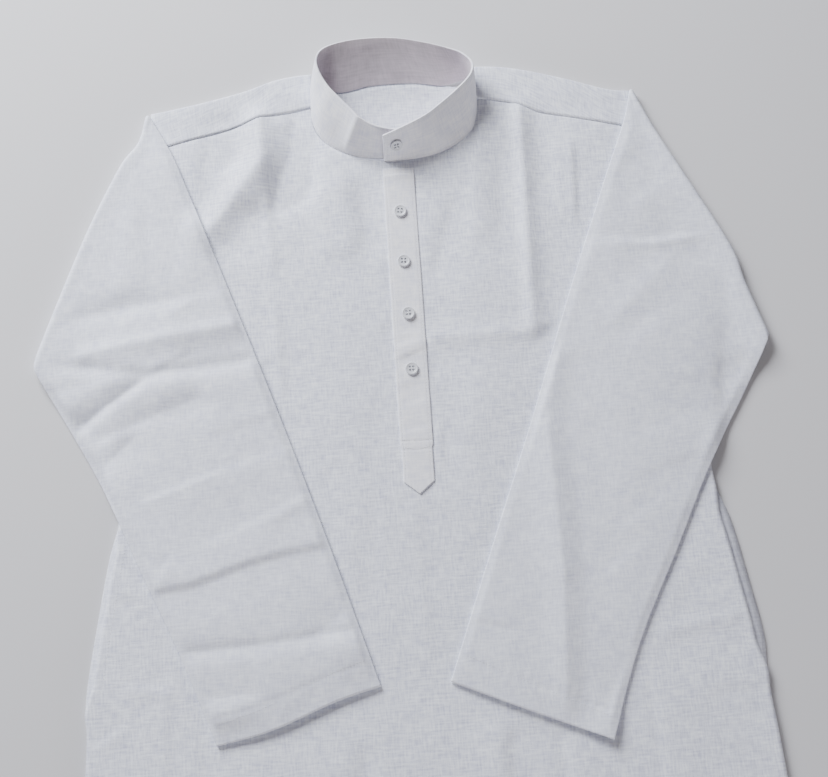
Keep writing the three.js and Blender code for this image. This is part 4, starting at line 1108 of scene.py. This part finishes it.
class KURTA_OT_collar(bpy.types.Operator):
    """Stiffened band collar with overlapping ends"""

    bl_idname = "kurta.collar"
    bl_label = "Collar band"

    def execute(self, context):
        # Its first material, on the band's inner face, is painted shade; the second, on its outer face and rim,
        # is painted light.
        piece = cloth_piece("collar_band", "collar", panel(place_collar, 340, 44), "cotton_facing", BAND_WALL)
        piece.data.materials.append(material("cotton_band"))
        piece.modifiers["wall"].material_offset = 1
        piece.modifiers["wall"].material_offset_rim = 1
        soft = piece.modifiers.new("edges", "BEVEL")
        soft.width = 0.5 * MM
        soft.segments = 2
        soft.limit_method = "ANGLE"
        return {"FINISHED"}


class KURTA_OT_plackets(bpy.types.Operator):
    """Upper placket with its pointed tab, and the lower placket under the front"""

    bl_idname = "kurta.plackets"
    bl_label = "Plackets"

    def execute(self, context):
        # The plackets are of the band's cloth, painted lighter than the body.
        over = panel(place_placket, 44, 300)
        piece = cloth_piece("placket", "placket_over", over, "cotton_band", PLACKET_WALL)
        piece = cloth_piece("placket_stand", "placket_under", panel(place_stand, 4, 40), "cotton_band")
        return {"FINISHED"}


class KURTA_OT_pockets(bpy.types.Operator):
    """Pocket bags in the side seams"""

    bl_idname = "kurta.pockets"
    bl_label = "Pocket bags"

    def execute(self, context):
        for name, side in SIDES.items():
            bag = panel(place_pocket(side), 40, 60)
            piece = cloth_piece(f"pocket_bag_{name}", f"pocket_{name}", bag, "cotton_inside", BAG_WALL)
        return {"FINISHED"}


class KURTA_OT_sleeves(bpy.types.Operator):
    """Sleeves, each a flattened tube folded over the front"""

    bl_idname = "kurta.sleeves"
    bl_label = "Sleeves"

    def execute(self, context):
        drape = Drape()
        for name in SIDES:
            rings = sleeve_rings(name, drape)
            SLEEVE_TOPS[name] = cuff_rows(rings[0])
            tube = [np.concatenate([part, part[:, :1]], 1) for part in rings]
            piece = cloth_piece(
                f"sleeve_{name}_tube", f"sleeve_{name}", tube, "cotton_sleeve", offset=-1.0, closed=True)
        return {"FINISHED"}


class KURTA_OT_sewing(bpy.types.Operator):
    """Topstitching of the collar, plackets, yoke, pockets, cuffs and hem"""

    bl_idname = "kurta.sewing"
    bl_label = "Sewing"

    def execute(self, context):
        lift = THREAD_LIFT
        across = (0.08, 0.92)
        placket = [run_along(place_placket, u, (0.012, 0.955), lift["placket"]) for u in (0.075, 0.925)]
        placket.append(run_along(place_placket, across, TOP_STITCH_SHARE, lift["placket"]))
        for y in CROSS_STITCH_Y:
            share = (PLACKET_TOP_Y - y) / (PLACKET_TOP_Y - PLACKET_END_Y)
            placket.append(run_along(place_placket, across, share, lift["placket"], CROSS_PITCH))
        stitches("stitches_placket", placket)
        front = [run_along(place_front, (0.003, 0.997), 1 - (HEM_FOLD - 2) / FRONT_LONG, lift["front"])]
        for side in (-1, 1):
            for out, down in ((0.488, (0.675, 0.972)), (0.4865, (0.362, 0.535))):
                front.append(run_along(place_front, 0.5 + side * out, down, lift["front"]))
        stitches("stitches_front", front)
        left, right = NECK_COLUMNS
        wings = ((0.004, left - 0.004), (right + 0.004, 0.996))
        stitches("stitches_yoke", [run_along(place_yoke, wing, 0.985, lift["yoke"]) for wing in wings])
        outside = {"lift": -(BAND_WALL / 2 + 0.08), "upward": False}
        band = [run_along(place_collar, (0.012, 0.988), v, **outside) for v in (0.065, 0.935)]
        band.append(run_along(place_collar, 0.985, across, **outside))
        stitches("stitches_collar", band)
        for name, rows in SLEEVE_TOPS.items():
            stitches(f"stitches_cuff_{name}", [run_along(grid_place(rows), (0.03, 0.97), 1.0, lift["cuff"])])
        return {"FINISHED"}


class KURTA_OT_buttons(bpy.types.Operator):
    """Four-hole buttons with raised rims, and their thread"""

    bl_idname = "kurta.buttons"
    bl_label = "Buttons"

    def execute(self, context):
        seed = button_seed()
        _, _, normal, _ = band_frame(np.array(COLLAR_BUTTON_ALONG))
        buttons = [("button_collar", Vector(normal), 0)]
        buttons += [(f"button_{i + 1}", Vector((0, 0, 1)), turn) for i, turn in enumerate(BUTTON_TURN)]
        runs = []
        for name, tilt, degrees in buttons:
            low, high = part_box(name)
            middle = (Vector(low) + Vector(high)) / 2 - tilt * BUTTON_SINK * MM
            spin = Matrix.Rotation(math.radians(degrees), 4, "Z")
            turn = tilt.to_track_quat("Z", "Y").to_matrix().to_4x4() @ spin
            bm = bmesh.new()
            bm.from_mesh(seed)
            bmesh.ops.transform(bm, matrix=Matrix.Translation(middle) @ turn, verts=bm.verts)
            disc = f"{name}_disc"
            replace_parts(finish_piece(disc, new_mesh(disc, bm), material("button")), name)
            for x in (-THREAD_OUT, THREAD_OUT):
                at = (middle + turn @ Vector((x, 0, THREAD_UP)) * MM) / MM - Vector(SHIFT)
                runs.append([np.array([v[:]]) for v in (at, turn @ Vector((0, 1, 0)), tilt)])
        stitches("button_thread", runs, **THREAD_SIZE)
        bpy.data.meshes.remove(seed)
        return {"FINISHED"}


def button_seed():
    """One button about its own middle, facing up, in metres."""
    bm = bmesh.new()
    verts = [bm.verts.new((x * BUTTON_RADIUS * MM, 0, z * BUTTON_TALL * MM)) for x, z in BUTTON_SECTION]
    edges = [bm.edges.new(pair) for pair in zip(verts, verts[1:])]
    bmesh.ops.spin(
        bm, geom=verts + edges, cent=(0, 0, 0), axis=(0, 0, 1), angle=2 * math.pi, steps=48, use_merge=True)
    bmesh.ops.remove_doubles(bm, verts=bm.verts, dist=1e-6)
    bmesh.ops.recalc_face_normals(bm, faces=bm.faces)
    drill = bmesh.new()
    for sx, sy in ((1, 1), (-1, 1), (-1, -1), (1, -1)):
        spot = Matrix.Translation((sx * HOLE_OUT * MM, sy * HOLE_OUT * MM, 0))
        radii = {"radius1": HOLE_RADIUS * MM, "radius2": HOLE_RADIUS * MM}
        bmesh.ops.create_cone(drill, cap_ends=True, segments=14, depth=8 * MM, matrix=spot, **radii)
    meshes = new_mesh("button_seed", bm), new_mesh("button_holes", drill)
    body, cutter = (linked(mesh.name, mesh) for mesh in meshes)
    cut = body.modifiers.new("holes", "BOOLEAN")
    cut.operation = "DIFFERENCE"
    cut.object = cutter
    cut.solver = "EXACT"
    graph = bpy.context.evaluated_depsgraph_get()
    seed = bpy.data.meshes.new_from_object(body.evaluated_get(graph))
    for piece, mesh in zip((body, cutter), meshes):
        bpy.data.objects.remove(piece)
        bpy.data.meshes.remove(mesh)
    return seed


# Name, place from the aim in m, size in m, colour
LIGHTS = (
    ("key", (-1.06, 1.6, 1.1), (1.15, 1.15), (0.925, 0.945, 1)),
    ("fill", (0.5, -1.65, 0.2), (1.5, 0.22), (0.98, 0.95, 0.98)),
)
LIGHT_AIM = (0, -300, 0)
SKY_COLOR = (1.0, 0.93, 0.95, 1)
FLOOR_Z = -0.4
FLOOR_HALF = 6  # in m
SENSOR = 36  # width of the camera's, in mm


def area_light(name, place, size, color, power):
    aim = (Vector(LIGHT_AIM) + Vector(SHIFT)) * MM
    data = bpy.data.lights.new(name, "AREA")
    data.shape = "RECTANGLE"
    data.size, data.size_y = size
    data.energy = power
    data.color = color
    light = linked(name, data)
    light.location = aim + Vector(place)
    light.rotation_euler = (aim - light.location).to_track_quat("-Z", "Y").to_euler()


class KURTA_OT_stage(bpy.types.Operator):
    """Floor, soft lights and camera"""

    bl_idname = "kurta.stage"
    bl_label = "Stage"

    def execute(self, context):
        view = context.scene.kurta_stage
        bm = bmesh.new()
        bmesh.ops.create_grid(bm, x_segments=1, y_segments=1, size=FLOOR_HALF)
        bmesh.ops.translate(bm, vec=(0, 0, FLOOR_Z * MM), verts=bm.verts)
        floor = linked("floor", new_mesh("floor", bm))
        paper, *_ = new_material("floor_paper", {"Base Color": (*view.floor_color, 1), "Roughness": 0.95})
        floor.data.materials.append(paper)
        world = bpy.data.worlds.new("studio")
        context.scene.world = world
        world.use_nodes = True
        set_inputs(world.node_tree.nodes["Background"], {"Color": SKY_COLOR, "Strength": view.sky})
        for light in LIGHTS:
            area_light(*light, getattr(view, light[0]))
        self.camera(context, view)
        return {"FINISHED"}

    def camera(self, context, view):
        turn, tip, roll = (math.radians(a) for a in (view.azimuth, view.elevation, view.roll))
        back = Vector((math.sin(turn) * math.cos(tip), -math.cos(turn) * math.cos(tip), math.sin(tip)))
        right = (-back).cross(Vector((0, 0, 1))).normalized()
        up = right.cross(-back)
        right, up = right * math.cos(roll) + up * math.sin(roll), up * math.cos(roll) - right * math.sin(roll)
        target = (Vector(view.target) + Vector(SHIFT)) * MM
        data = bpy.data.cameras.new("camera")
        data.lens = view.lens
        data.sensor_width = SENSOR
        camera = linked("camera", data)
        matrix = Matrix((right, up, back)).transposed().to_4x4()
        matrix.translation = target + back * view.distance
        camera.matrix_world = matrix
        context.scene.camera = camera


MAKERS = (
    KURTA_OT_back, KURTA_OT_front, KURTA_OT_yoke, KURTA_OT_collar, KURTA_OT_plackets, KURTA_OT_pockets,
    KURTA_OT_sleeves, KURTA_OT_sewing, KURTA_OT_buttons, KURTA_OT_stage,
)


class KURTA_PT_panel(bpy.types.Panel):
    """The kurta's pieces and settings"""

    bl_idname = "KURTA_PT_panel"
    bl_label = "Kurta"
    bl_space_type = "VIEW_3D"
    bl_region_type = "UI"
    bl_category = "Kurta"

    def draw(self, context):
        for settings in (context.scene.kurta_cloth, context.scene.kurta_stage):
            column = self.layout.column()
            for name in settings.__annotations__:
                column.prop(settings, name)
        for maker in MAKERS:
            self.layout.operator(maker.bl_idname)


CLASSES = (KurtaCloth, KurtaStage, *MAKERS, KURTA_PT_panel)


def register():
    for cls in CLASSES:
        bpy.utils.register_class(cls)
    bpy.types.Scene.kurta_cloth = PointerProperty(type=KurtaCloth)
    bpy.types.Scene.kurta_stage = PointerProperty(type=KurtaStage)


def unregister():
    del bpy.types.Scene.kurta_stage
    del bpy.types.Scene.kurta_cloth
    for cls in reversed(CLASSES):
        bpy.utils.unregister_class(cls)


def main():
    register()
    for maker in MAKERS:
        getattr(bpy.ops.kurta, maker.bl_idname.split(".")[1])()


if __name__ == "__main__":
    main()
